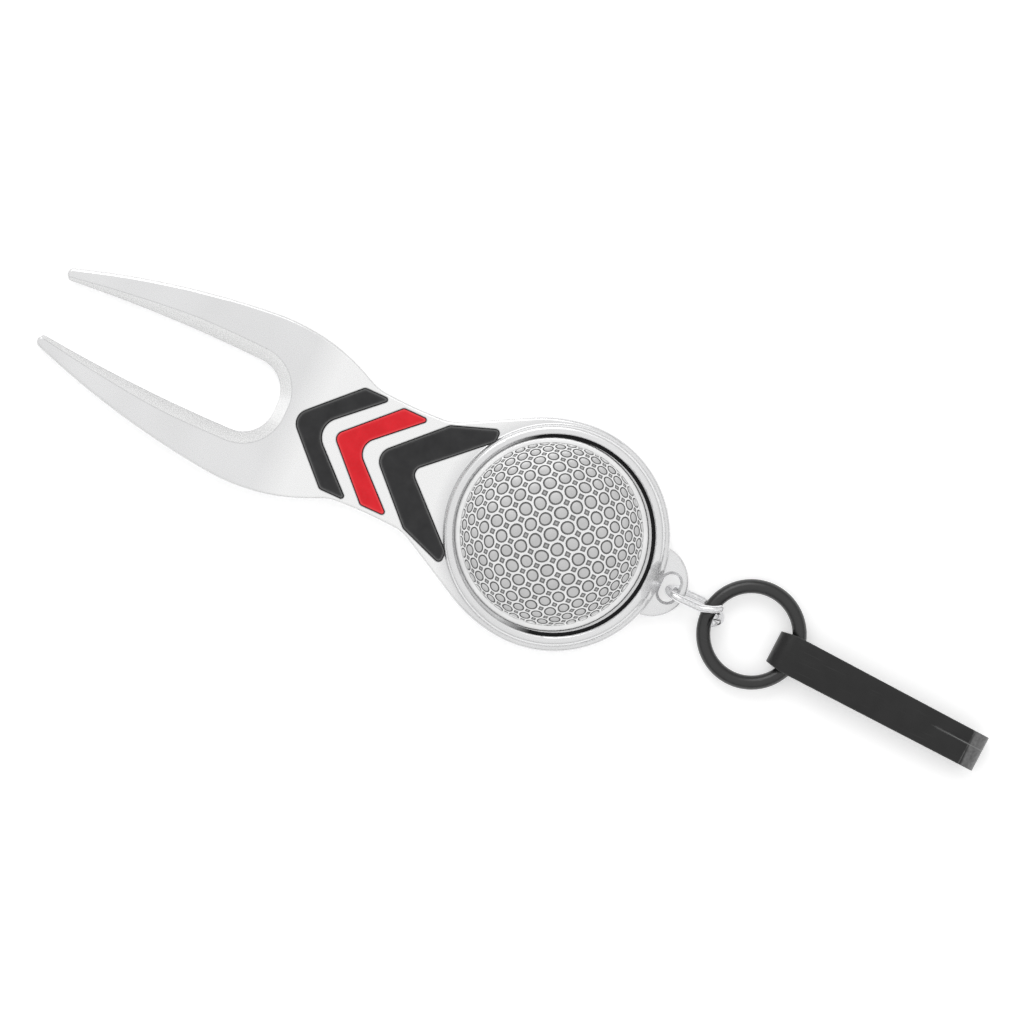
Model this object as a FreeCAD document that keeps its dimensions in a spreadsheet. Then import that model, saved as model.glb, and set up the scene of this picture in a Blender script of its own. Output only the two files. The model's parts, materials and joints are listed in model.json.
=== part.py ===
import FreeCAD, Part

import math
import os

import Sketcher

# Divot repair tool: a cast fork with a round head that holds a magnetic ball
# marker, three inlaid chevrons, and a lug that carries a jump ring, a black
# carrier ring and a folded belt clip.
#
# Frame: millimetres. The origin is the head's centre on the tool's flat back.
# +X runs from the fork to the lug, +Z is up through the marker, and the back
# lies on z = 0. Distances toward the fork are positive numbers.

SIZES = {
    # head and marker pocket
    "head_radius": 14.55,
    "head_thickness": 4.5,
    "rim_ledge": 0.75,
    "rim_round": 0.6,
    "rim_foot_round": 0.25,
    "marker_pocket_radius": 12.65,
    "marker_pocket_depth": 2.2,
    "marker_pocket_round": 0.2,
    # fork and neck, seen from above
    "land_thickness": 3.2,
    "shoulder_start": 1.5,
    "shoulder_radius": 19.5,
    "flank_angle": 28.0,
    "flank_fillet": 5.0,
    "waist_distance": 22.3,
    "waist_half_width": 7.4,
    "waist_radius": 60.0,
    "hip_fillet": 6.0,
    "hip_distance": 40.5,
    "hip_half_width": 11.0,
    "hip_radius": 26.0,
    "prong_edge_radius": 115.0,
    "tip_distance": 69.15,
    "tip_spread": 4.65,
    "tip_radius": 0.85,
    "slot_wide_distance": 48.0,
    "slot_edge_radius": 200.0,
    "slot_corner_radius": 4.1,
    "crotch_distance": 38.4,
    # fork, seen from the side
    "taper_start": 49.0,
    "taper_slope": 3.7,
    "taper_ease_radius": 80.0,
    "bevel_base": 1.7,
    "bevel_angle": 45.0,
    "back_round": 0.3,
    "top_round": 0.45,
    # lug
    "lug_inset": 1.1,
    "lug_radius": 4.6,
    "lug_bottom": 1.45,
    "lug_thickness": 1.2,
    "lug_round": 0.35,
    "lug_hole_reach": 1.3,
    "lug_hole_radius": 1.1,
    "lug_hole_stretch": 1.4,
    "lug_hole_bevel": 0.35,
    # chevron recesses and inlays
    "chevron_angle": 45.0,
    "chevron_inner_angle": 43.0,
    "recess_depth": 0.6,
    "inlay_gap": 0.04,
    "inlay_proud": 0.15,
    "inlay_bevel": 0.12,
    "front_nose": 35.35,
    "front_nose_radius": 1.9,
    "front_inner": 31.65,
    "front_inner_radius": 2.4,
    "front_half_width": 7.0,
    "front_corner_radius": 0.8,
    "front_tip_radius": 0.4,
    "middle_nose": 29.9,
    "middle_nose_radius": 1.1,
    "middle_inner": 26.1,
    "middle_inner_radius": 1.9,
    "middle_half_width": 6.7,
    "middle_corner_radius": 0.6,
    "middle_tip_radius": 0.4,
    "rear_nose": 23.9,
    "rear_nose_radius": 1.9,
    "rear_inner": 19.0,
    "rear_inner_radius": 1.0,
    "rear_flank_distance": 12.7,
    "rear_flank_angle": 20.0,
    "rear_corner_radius": 0.8,
    "rear_tip_radius": 0.6,
    "rear_arm_end": 11.4,
    # magnet and ball marker
    "magnet_radius": 5.0,
    "magnet_thickness": 1.2,
    "magnet_gap": 0.05,
    "marker_gap": 0.5,
    "marker_shift": 0.35,
    "marker_edge_thickness": 1.5,
    "marker_rim_width": 0.75,
    "marker_dome_height": 0.8,
    "marker_round": 0.25,
    # jump ring
    "jump_wire_radius": 0.52,
    "jump_gap": 0.38,
    "jump_straight": 3.85,
    "jump_reach": 1.4,
    "jump_side": 0.18,
    "jump_lean": 17.0,
    "jump_split": 12.0,
    # carrier ring
    "ring_wire_radius": 0.9,
    "ring_radius": 6.04,
    "ring_slack": 1.82,
    "ring_side": 1.0,
    # belt clip
    "clip_turn": 3.1,
    "strip_thickness": 0.8,
    "eye_gap": 0.4,
    "eye_stretch": 1.0,
    "eye_inset": 0.3,
    "eye_end_angle": 20.0,
    "clip_bend_distance": 24.5,
    "clip_eye_width": 4.25,
    "clip_shoulder_distance": 0.6,
    "clip_shoulder_width": 4.95,
    "clip_end_width": 4.65,
    "clip_cut_gap": 0.15,
    "tongue_width": 4.1,
    "tongue_rise_angle": 2.5,
    "tongue_nip_distance": 7.0,
    "tongue_nip_radius": 3.0,
    "tongue_lip_angle": 14.0,
    "tongue_lip_distance": 4.0,
}

POINT_START = 1
POINT_END = 2
POINT_CENTRE = 3
AXIS_X = -1
ORIGIN = (-1, 1)

# Formulas that several pieces share. The lug and what hangs from it are placed
# from the head's edge; the jump ring and the clip's eye are bent round the ring's
# wire with a named gap.
LUG_CENTRE = "Sizes.head_radius - Sizes.lug_inset"
LUG_HOLE_CENTRE = "Sizes.head_radius + Sizes.lug_hole_reach"
JUMP_START = "Sizes.head_radius + Sizes.jump_reach"
JUMP_END = "(Sizes.ring_wire_radius + Sizes.jump_wire_radius + Sizes.jump_gap)"
RING_CENTRE = (f"{JUMP_START} + 2 * {JUMP_END} + Sizes.jump_straight"
               " - Sizes.ring_slack + Sizes.ring_radius")
EYE_BORE = "Sizes.ring_wire_radius + Sizes.eye_gap"
EYE_OFFSET = "(Sizes.ring_radius - Sizes.eye_inset)"
STRIP_ROLL = f"{EYE_BORE} + Sizes.strip_thickness / 2"
STRIP_LIFT = f"{EYE_BORE} + Sizes.strip_thickness"
CLIP_BEND_END = f"Sizes.clip_bend_distance + {STRIP_ROLL}"
TONGUE_BEND = f"{STRIP_ROLL} - Sizes.clip_cut_gap"

# How far a cutting profile runs past what it cuts, and past the prong tips.
OVERCUT = 1.0
CUT_REACH = "Sizes.tip_distance + 5"

# How close two points or heights are to count as the same.
SAME = 1e-3

# Near-enough angles, in degrees round each arc's centre, and small steps between
# neighbouring arcs, that the outline and the slot are drawn with before the
# sketches are solved.
WAIST_TO_FLANK = -87
FLANK_STEP = (2, 0.6)
FLANK_TURN = 5
HIP_START = 63
WAIST_STEP = (2.6, -0.7)
HIP_END = 95.5
EDGE_START = -84.5
TIP_TOP = 107
TIP_LOW = 264
CORNER_TOP = 91
CORNER_SIDE = 0.15
MOUTH_REACH = 4


# --------------------------------------------------------------- the sheet

def make_sheet(doc):
    """One row for each driving size: its name beside its value."""
    sheet = doc.addObject("Spreadsheet::Sheet", "Sizes")
    for row, (name, value) in enumerate(SIZES.items(), start=1):
        sheet.set(f"A{row}", name)
        sheet.set(f"B{row}", str(value))
        sheet.setAlias(f"B{row}", name)
    doc.recompute()
    return sheet


def cell(owner, formula):
    """The present value of a formula of the sheet's cells."""
    return float(owner.evalExpression(formula))


# ------------------------------------------------------------ sketch tools

def origin_plane(body, role):
    """The body's own origin plane with this role, such as XY_Plane."""
    return next(f for f in body.Origin.OriginFeatures if f.Role == role)


def new_body(doc, label):
    """An empty PartDesign body named for its node."""
    body = doc.addObject("PartDesign::Body", label)
    body.Label = label
    return body


def new_sketch(body, name, role="XY_Plane", height=None):
    """A sketch on an origin plane, lifted along the plane's normal by a formula."""
    sketch = body.newObject("Sketcher::SketchObject", name)
    sketch.AttachmentSupport = [(origin_plane(body, role), "")]
    sketch.MapMode = "FlatFace"
    if height:
        sketch.setExpression("AttachmentOffset.Base.z", height)
    return sketch


def size(sketch, name, formula, kind, *where):
    """A dimension bound to a formula of the sheet's cells."""
    value = cell(sketch, formula)
    if kind == "Angle":
        value = math.radians(value)
        formula = f"({formula}) * 1 deg"
    index = sketch.addConstraint(Sketcher.Constraint(kind, *where, value))
    sketch.renameConstraint(index, name)
    sketch.setExpression("Constraints." + name, formula)


def rule(sketch, kind, *where):
    """A constraint that has no value."""
    sketch.addConstraint(Sketcher.Constraint(kind, *where))


def vector(point):
    return FreeCAD.Vector(point[0], point[1], 0)


def add_line(sketch, start, end):
    return sketch.addGeometry(Part.LineSegment(vector(start), vector(end)), False)


def add_arc(sketch, centre, start, end):
    """An arc that turns left from start to end."""
    radius = math.dist(centre, start)
    first = math.atan2(start[1] - centre[1], start[0] - centre[0])
    last = math.atan2(end[1] - centre[1], end[0] - centre[0])
    if last <= first:
        last += 2 * math.pi
    circle = Part.Circle(vector(centre), FreeCAD.Vector(0, 0, 1), radius)
    return sketch.addGeometry(Part.ArcOfCircle(circle, first, last), False)


def add_circle(sketch, centre, radius):
    circle = Part.Circle(vector(centre), FreeCAD.Vector(0, 0, 1), radius)
    return sketch.addGeometry(circle, False)


def along(point, angle, length):
    """The point reached from a point by going length at an angle in degrees."""
    turn = math.radians(angle)
    return (point[0] + length * math.cos(turn), point[1] + length * math.sin(turn))


def crossing(first, first_angle, second, second_angle):
    """Where two lines cross, each given by a point and an angle in degrees."""
    ax, ay = along((0, 0), first_angle, 1)
    bx, by = along((0, 0), second_angle, 1)
    dx, dy = second[0] - first[0], second[1] - first[1]
    reach = (dx * by - dy * bx) / (ax * by - ay * bx)
    return along(first, first_angle, reach)


def left_corner(point, angle_in, angle_out, radius):
    """A left turn rounded at a sharp corner: its arc's start, centre and end."""
    turn = (angle_out - angle_in) % 360
    setback = radius * math.tan(math.radians(turn / 2))
    start = along(point, angle_in + 180, setback)
    centre = along(start, angle_in + 90, radius)
    return start, centre, along(point, angle_out, setback)


# ------------------------------------------------------- part design tools

def pad(body, sketch, name, formula):
    feature = body.newObject("PartDesign::Pad", name)
    feature.Profile = sketch
    feature.setExpression("Length", formula)
    return feature


def pocket(body, sketch, name, formula):
    """A pocket that goes down from its sketch, against the sketch's normal."""
    feature = body.newObject("PartDesign::Pocket", name)
    feature.Profile = sketch
    feature.setExpression("Length", formula)
    return feature


def flared_pocket(body, sketch, name, formula):
    """A pocket that goes up from its sketch and widens at the bevel's angle."""
    feature = pocket(body, sketch, name, formula)
    feature.Reversed = True
    feature.setExpression("TaperAngle", "Sizes.bevel_angle * 1 deg")
    return feature


def mirror(body, features, name):
    """The features again on the other side of the tool's centre plane."""
    feature = body.newObject("PartDesign::Mirrored", name)
    feature.Originals = features
    feature.MirrorPlane = (origin_plane(body, "XZ_Plane"), [""])
    body.Tip = feature
    return feature


def edges_where(feature, test):
    """Names of the feature's edges whose middle point passes the test."""
    names = []
    for number, edge in enumerate(feature.Shape.Edges, start=1):
        middle = edge.valueAt((edge.FirstParameter + edge.LastParameter) / 2)
        if test(edge, middle):
            names.append(f"Edge{number}")
    return names


def round_edges(body, base, name, formula, test):
    """Rounds the base feature's edges that pass the test."""
    body.Document.recompute()
    feature = body.newObject("PartDesign::Fillet", name)
    feature.Base = (base, edges_where(base, test))
    feature.setExpression("Radius", formula)
    return feature


def bevel_edges(body, base, name, formula, test):
    """Cuts the base feature's edges that pass the test at 45 degrees."""
    body.Document.recompute()
    feature = body.newObject("PartDesign::Chamfer", name)
    feature.Base = (base, edges_where(base, test))
    feature.setExpression("Size", formula)
    return feature


# --------------------------------------------------------------- tool body

def outline_sketch(body):
    """The upper half of the tool's outline, without the lug."""
    sketch = new_sketch(body, "half_outline")
    value = lambda name: cell(sketch, "Sizes." + name)
    head = value("head_radius")
    hip = (-value("hip_distance"), value("hip_half_width") - value("hip_radius"))
    waist = (-value("waist_distance"), value("waist_half_width") + value("waist_radius"))
    tip = (value("tip_radius") - value("tip_distance"), value("tip_spread"))
    crotch = -value("crotch_distance")
    corner = (crotch - value("slot_corner_radius"), CORNER_SIDE * value("tip_spread"))
    slot = (-value("slot_wide_distance"), tip[1] - value("slot_edge_radius"))

    shoulder_at = (-value("shoulder_start"), math.sqrt(head**2 - value("shoulder_start")**2))
    to_head = math.degrees(math.atan2(shoulder_at[1], shoulder_at[0]))
    shoulder = along(shoulder_at, to_head + 180, value("shoulder_radius"))
    flank_top = along(shoulder, 90 + value("flank_angle"), value("shoulder_radius"))
    flank_low = along(waist, WAIST_TO_FLANK, value("waist_radius"))
    flank_end = (flank_low[0] + FLANK_STEP[0], flank_low[1] + FLANK_STEP[1])
    hip_join = along(hip, HIP_START, value("hip_radius"))
    waist_end = (hip_join[0] + WAIST_STEP[0], hip_join[1] + WAIST_STEP[1])
    hip_end = along(hip, HIP_END, value("hip_radius"))
    tip_top = along(tip, TIP_TOP, value("tip_radius"))
    tip_low = along(tip, TIP_LOW, value("tip_radius"))
    corner_top = along(corner, CORNER_TOP, value("slot_corner_radius"))
    corner_end = along(corner, 0, value("slot_corner_radius"))

    head_arc = add_arc(sketch, (0, 0), (head, 0), shoulder_at)
    shoulder_arc = add_arc(sketch, shoulder, shoulder_at, flank_top)
    flank = add_line(sketch, flank_end, flank_top)
    flank_centre = along(flank_end, 90 + value("flank_angle"), FLANK_TURN)
    flank_arc = add_arc(sketch, flank_centre, flank_low, flank_end)
    waist_arc = add_arc(sketch, waist, waist_end, flank_low)
    hip_fillet = add_arc(sketch, along(hip_join, HIP_START, value("hip_fillet")), hip_join, waist_end)
    hip_arc = add_arc(sketch, hip, hip_join, hip_end)
    edge_centre = along(hip_end, EDGE_START, value("prong_edge_radius"))
    prong_edge = add_arc(sketch, edge_centre, hip_end, tip_top)
    tip_arc = add_arc(sketch, tip, tip_top, tip_low)
    slot_edge = add_arc(sketch, slot, corner_top, tip_low)
    slot_corner = add_arc(sketch, corner, corner_end, corner_top)
    crotch_line = add_line(sketch, corner_end, (crotch, 0))
    centre_line = add_line(sketch, (crotch, 0), (head, 0))

    rule(sketch, "Tangent", head_arc, POINT_END, shoulder_arc, POINT_START)
    rule(sketch, "Tangent", shoulder_arc, POINT_END, flank, POINT_END)
    rule(sketch, "Tangent", flank, POINT_START, flank_arc, POINT_END)
    rule(sketch, "Tangent", flank_arc, POINT_START, waist_arc, POINT_END)
    rule(sketch, "Tangent", waist_arc, POINT_START, hip_fillet, POINT_END)
    rule(sketch, "Tangent", hip_fillet, POINT_START, hip_arc, POINT_START)
    rule(sketch, "Tangent", hip_arc, POINT_END, prong_edge, POINT_START)
    rule(sketch, "Tangent", prong_edge, POINT_END, tip_arc, POINT_START)
    rule(sketch, "Tangent", tip_arc, POINT_END, slot_edge, POINT_END)
    rule(sketch, "Tangent", slot_edge, POINT_START, slot_corner, POINT_END)
    rule(sketch, "Tangent", slot_corner, POINT_START, crotch_line, POINT_START)
    rule(sketch, "Coincident", crotch_line, POINT_END, centre_line, POINT_START)
    rule(sketch, "Coincident", centre_line, POINT_END, head_arc, POINT_START)
    rule(sketch, "Coincident", head_arc, POINT_CENTRE, *ORIGIN)
    rule(sketch, "PointOnObject", head_arc, POINT_START, AXIS_X)
    rule(sketch, "PointOnObject", centre_line, POINT_START, AXIS_X)
    rule(sketch, "Vertical", crotch_line)

    size(sketch, "head", "Sizes.head_radius", "Radius", head_arc)
    size(sketch, "shoulder", "Sizes.shoulder_radius", "Radius", shoulder_arc)
    size(sketch, "shoulder_x", "Sizes.shoulder_start", "DistanceX", head_arc, POINT_END, *ORIGIN)
    size(sketch, "flank", "Sizes.flank_angle", "Angle", flank)
    size(sketch, "flank_turn", "Sizes.flank_fillet", "Radius", flank_arc)
    size(sketch, "waist", "Sizes.waist_radius", "Radius", waist_arc)
    size(sketch, "waist_x", "Sizes.waist_distance", "DistanceX", waist_arc, POINT_CENTRE, *ORIGIN)
    size(sketch, "waist_y", "Sizes.waist_half_width + Sizes.waist_radius", "DistanceY",
         *ORIGIN, waist_arc, POINT_CENTRE)
    size(sketch, "hip_turn", "Sizes.hip_fillet", "Radius", hip_fillet)
    size(sketch, "hip", "Sizes.hip_radius", "Radius", hip_arc)
    size(sketch, "hip_x", "Sizes.hip_distance", "DistanceX", hip_arc, POINT_CENTRE, *ORIGIN)
    size(sketch, "hip_y", "Sizes.hip_radius - Sizes.hip_half_width", "DistanceY",
         hip_arc, POINT_CENTRE, *ORIGIN)
    size(sketch, "prong_edge", "Sizes.prong_edge_radius", "Radius", prong_edge)
    size(sketch, "tip", "Sizes.tip_radius", "Radius", tip_arc)
    size(sketch, "tip_x", "Sizes.tip_distance - Sizes.tip_radius", "DistanceX",
         tip_arc, POINT_CENTRE, *ORIGIN)
    size(sketch, "tip_y", "Sizes.tip_spread", "DistanceY", *ORIGIN, tip_arc, POINT_CENTRE)
    size(sketch, "slot_edge", "Sizes.slot_edge_radius", "Radius", slot_edge)
    size(sketch, "slot_x", "Sizes.slot_wide_distance", "DistanceX", slot_edge, POINT_CENTRE, *ORIGIN)
    size(sketch, "slot_corner", "Sizes.slot_corner_radius", "Radius", slot_corner)
    size(sketch, "crotch", "Sizes.crotch_distance", "DistanceX", crotch_line, POINT_END, *ORIGIN)
    return sketch


def slot_sketch(body):
    """The gap between the prongs at the foot of its bevel, open past the tips."""
    sketch = new_sketch(body, "slot_foot", height="Sizes.bevel_base")
    value = lambda name: cell(sketch, "Sizes." + name)
    tip = (value("tip_radius") - value("tip_distance"), value("tip_spread"))
    crotch = -value("crotch_distance")
    corner = (crotch - value("slot_corner_radius"), CORNER_SIDE * value("tip_spread"))
    slot = (-value("slot_wide_distance"), tip[1] - value("slot_edge_radius"))
    mouth = -value("tip_distance") - MOUTH_REACH
    mouth_top = (mouth, tip[1] - value("tip_radius"))
    corner_top = along(corner, CORNER_TOP, value("slot_corner_radius"))
    corner_end = along(corner, 0, value("slot_corner_radius"))
    flip = lambda point: (point[0], -point[1])

    top_edge = add_arc(sketch, slot, corner_top, mouth_top)
    top_corner = add_arc(sketch, corner, corner_end, corner_top)
    crotch_line = add_line(sketch, corner_end, flip(corner_end))
    low_corner = add_arc(sketch, flip(corner), flip(corner_top), flip(corner_end))
    low_edge = add_arc(sketch, flip(slot), flip(mouth_top), flip(corner_top))
    mouth_line = add_line(sketch, flip(mouth_top), mouth_top)
    tip_circle = add_circle(sketch, tip, value("tip_radius"))
    sketch.setConstruction(tip_circle, True)

    rule(sketch, "Tangent", top_edge, POINT_START, top_corner, POINT_END)
    rule(sketch, "Tangent", top_corner, POINT_START, crotch_line, POINT_START)
    rule(sketch, "Tangent", crotch_line, POINT_END, low_corner, POINT_END)
    rule(sketch, "Tangent", low_corner, POINT_START, low_edge, POINT_END)
    rule(sketch, "Coincident", low_edge, POINT_START, mouth_line, POINT_START)
    rule(sketch, "Coincident", mouth_line, POINT_END, top_edge, POINT_END)
    rule(sketch, "Symmetric", top_edge, POINT_CENTRE, low_edge, POINT_CENTRE, AXIS_X)
    rule(sketch, "Symmetric", top_corner, POINT_CENTRE, low_corner, POINT_CENTRE, AXIS_X)
    rule(sketch, "Equal", top_edge, low_edge)
    rule(sketch, "Vertical", mouth_line)
    rule(sketch, "Tangent", tip_circle, top_edge)

    size(sketch, "tip", "Sizes.tip_radius", "Radius", tip_circle)
    size(sketch, "tip_x", "Sizes.tip_distance - Sizes.tip_radius", "DistanceX",
         tip_circle, POINT_CENTRE, *ORIGIN)
    size(sketch, "tip_y", "Sizes.tip_spread", "DistanceY", *ORIGIN, tip_circle, POINT_CENTRE)
    size(sketch, "slot_edge", "Sizes.slot_edge_radius", "Radius", top_edge)
    size(sketch, "slot_x", "Sizes.slot_wide_distance", "DistanceX", top_edge, POINT_CENTRE, *ORIGIN)
    size(sketch, "slot_corner", "Sizes.slot_corner_radius", "Radius", top_corner)
    size(sketch, "crotch", "Sizes.crotch_distance", "DistanceX", crotch_line, POINT_END, *ORIGIN)
    size(sketch, "mouth", f"Sizes.tip_distance + {MOUTH_REACH}", "DistanceX", mouth_line, POINT_END, *ORIGIN)
    return sketch


def rim_sketch(body):
    """What is turned off round the head: its rounded rim, and the step down to the land."""
    sketch = new_sketch(body, "rim_profile", role="XZ_Plane")
    value = lambda name: cell(sketch, "Sizes." + name)
    wall = value("head_radius") - value("rim_ledge")
    top = value("head_thickness")
    land = value("land_thickness")
    bend = value("rim_round")
    foot = value("rim_foot_round")
    reach = cell(sketch, CUT_REACH)
    above = top + OVERCUT

    crown = add_arc(sketch, (wall - bend, top - bend), (wall, top - bend), (wall - bend, top))
    wall_line = add_line(sketch, (wall, top - bend), (wall, land + foot))
    flare = add_arc(sketch, (wall + foot, land + foot), (wall, land + foot), (wall + foot, land))
    floor = add_line(sketch, (wall + foot, land), (reach, land))
    side = add_line(sketch, (reach, land), (reach, above))
    roof = add_line(sketch, (reach, above), (wall - bend, above))
    back = add_line(sketch, (wall - bend, above), (wall - bend, top))

    rule(sketch, "Tangent", crown, POINT_START, wall_line, POINT_START)
    rule(sketch, "Tangent", wall_line, POINT_END, flare, POINT_START)
    rule(sketch, "Tangent", flare, POINT_END, floor, POINT_START)
    rule(sketch, "Coincident", floor, POINT_END, side, POINT_START)
    rule(sketch, "Coincident", side, POINT_END, roof, POINT_START)
    rule(sketch, "Coincident", roof, POINT_END, back, POINT_START)
    rule(sketch, "Coincident", back, POINT_END, crown, POINT_END)
    for line in (wall_line, side, back):
        rule(sketch, "Vertical", line)
    for line in (floor, roof):
        rule(sketch, "Horizontal", line)
    rule(sketch, "Vertical", crown, POINT_CENTRE, crown, POINT_END)
    size(sketch, "crown", "Sizes.rim_round", "Radius", crown)
    size(sketch, "foot", "Sizes.rim_foot_round", "Radius", flare)
    size(sketch, "wall", "Sizes.head_radius - Sizes.rim_ledge", "DistanceX",
         *ORIGIN, crown, POINT_START)
    size(sketch, "top", "Sizes.head_thickness", "DistanceY", *ORIGIN, crown, POINT_END)
    size(sketch, "land", "Sizes.land_thickness", "DistanceY", *ORIGIN, floor, POINT_START)
    size(sketch, "reach", CUT_REACH, "DistanceX", *ORIGIN, side, POINT_START)
    size(sketch, "above", f"Sizes.head_thickness + {OVERCUT}", "DistanceY",
         *ORIGIN, roof, POINT_START)
    return sketch


def taper_sketch(body):
    """The wedge cut off the top of the prongs, which eases in and thins them to their tips."""
    sketch = new_sketch(body, "taper_wedge", role="XZ_Plane")
    value = lambda name: cell(sketch, "Sizes." + name)
    land = value("land_thickness")
    fall = value("taper_slope")
    radius = value("taper_ease_radius")
    start = (-value("taper_start"), land)
    reach = -cell(sketch, CUT_REACH)
    centre = (start[0], land - radius)
    ease_end = along(centre, 90 + fall, radius)
    low = crossing(ease_end, fall, (reach, 0), 90)
    above = land + OVERCUT

    ease = add_arc(sketch, centre, start, ease_end)
    slope = add_line(sketch, low, ease_end)
    side = add_line(sketch, start, (start[0], above))
    roof = add_line(sketch, (start[0], above), (reach, above))
    end = add_line(sketch, (reach, above), low)
    rule(sketch, "Tangent", slope, POINT_END, ease, POINT_END)
    rule(sketch, "Coincident", ease, POINT_START, side, POINT_START)
    rule(sketch, "Vertical", ease, POINT_START, ease, POINT_CENTRE)
    rule(sketch, "Coincident", side, POINT_END, roof, POINT_START)
    rule(sketch, "Coincident", roof, POINT_END, end, POINT_START)
    rule(sketch, "Coincident", end, POINT_END, slope, POINT_START)
    rule(sketch, "Vertical", side)
    rule(sketch, "Horizontal", roof)
    rule(sketch, "Vertical", end)
    size(sketch, "ease", "Sizes.taper_ease_radius", "Radius", ease)
    size(sketch, "start", "Sizes.taper_start", "DistanceX", ease, POINT_START, *ORIGIN)
    size(sketch, "land", "Sizes.land_thickness", "DistanceY", *ORIGIN, ease, POINT_START)
    size(sketch, "slope", "Sizes.taper_slope", "Angle", slope)
    size(sketch, "reach", CUT_REACH, "DistanceX", end, POINT_END, *ORIGIN)
    size(sketch, "roof", f"Sizes.land_thickness + {OVERCUT}", "DistanceY",
         *ORIGIN, roof, POINT_START)
    return sketch


def circle_sketch(body, name, radius, centre=None, height=None):
    """One circle, centred on the X axis at a formula."""
    sketch = new_sketch(body, name, height=height)
    middle = (cell(sketch, centre), 0) if centre else (0, 0)
    circle = add_circle(sketch, middle, cell(sketch, radius))
    size(sketch, "radius", radius, "Radius", circle)
    if centre:
        rule(sketch, "PointOnObject", circle, POINT_CENTRE, AXIS_X)
        size(sketch, "centre", centre, "DistanceX", *ORIGIN, circle, POINT_CENTRE)
    else:
        rule(sketch, "Coincident", circle, POINT_CENTRE, *ORIGIN)
    return sketch


def lug_hole_sketch(body, name, height):
    """The lug's hole: an oval that is long across the tool."""
    sketch = new_sketch(body, name, height=height)
    middle = cell(sketch, LUG_HOLE_CENTRE)
    radius = cell(sketch, "Sizes.lug_hole_radius")
    half = cell(sketch, "Sizes.lug_hole_stretch / 2")
    top = add_arc(sketch, (middle, half), (middle + radius, half), (middle - radius, half))
    left = add_line(sketch, (middle - radius, half), (middle - radius, -half))
    low = add_arc(sketch, (middle, -half), (middle - radius, -half), (middle + radius, -half))
    right = add_line(sketch, (middle + radius, -half), (middle + radius, half))
    rule(sketch, "Tangent", top, POINT_END, left, POINT_START)
    rule(sketch, "Tangent", left, POINT_END, low, POINT_START)
    rule(sketch, "Tangent", low, POINT_END, right, POINT_START)
    rule(sketch, "Tangent", right, POINT_END, top, POINT_START)
    rule(sketch, "Vertical", left)
    rule(sketch, "Symmetric", top, POINT_CENTRE, low, POINT_CENTRE, AXIS_X)
    size(sketch, "radius", "Sizes.lug_hole_radius", "Radius", top)
    size(sketch, "stretch", "Sizes.lug_hole_stretch / 2", "DistanceY", *ORIGIN, top, POINT_CENTRE)
    size(sketch, "centre", LUG_HOLE_CENTRE, "DistanceX", *ORIGIN, top, POINT_CENTRE)
    return sketch


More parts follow.
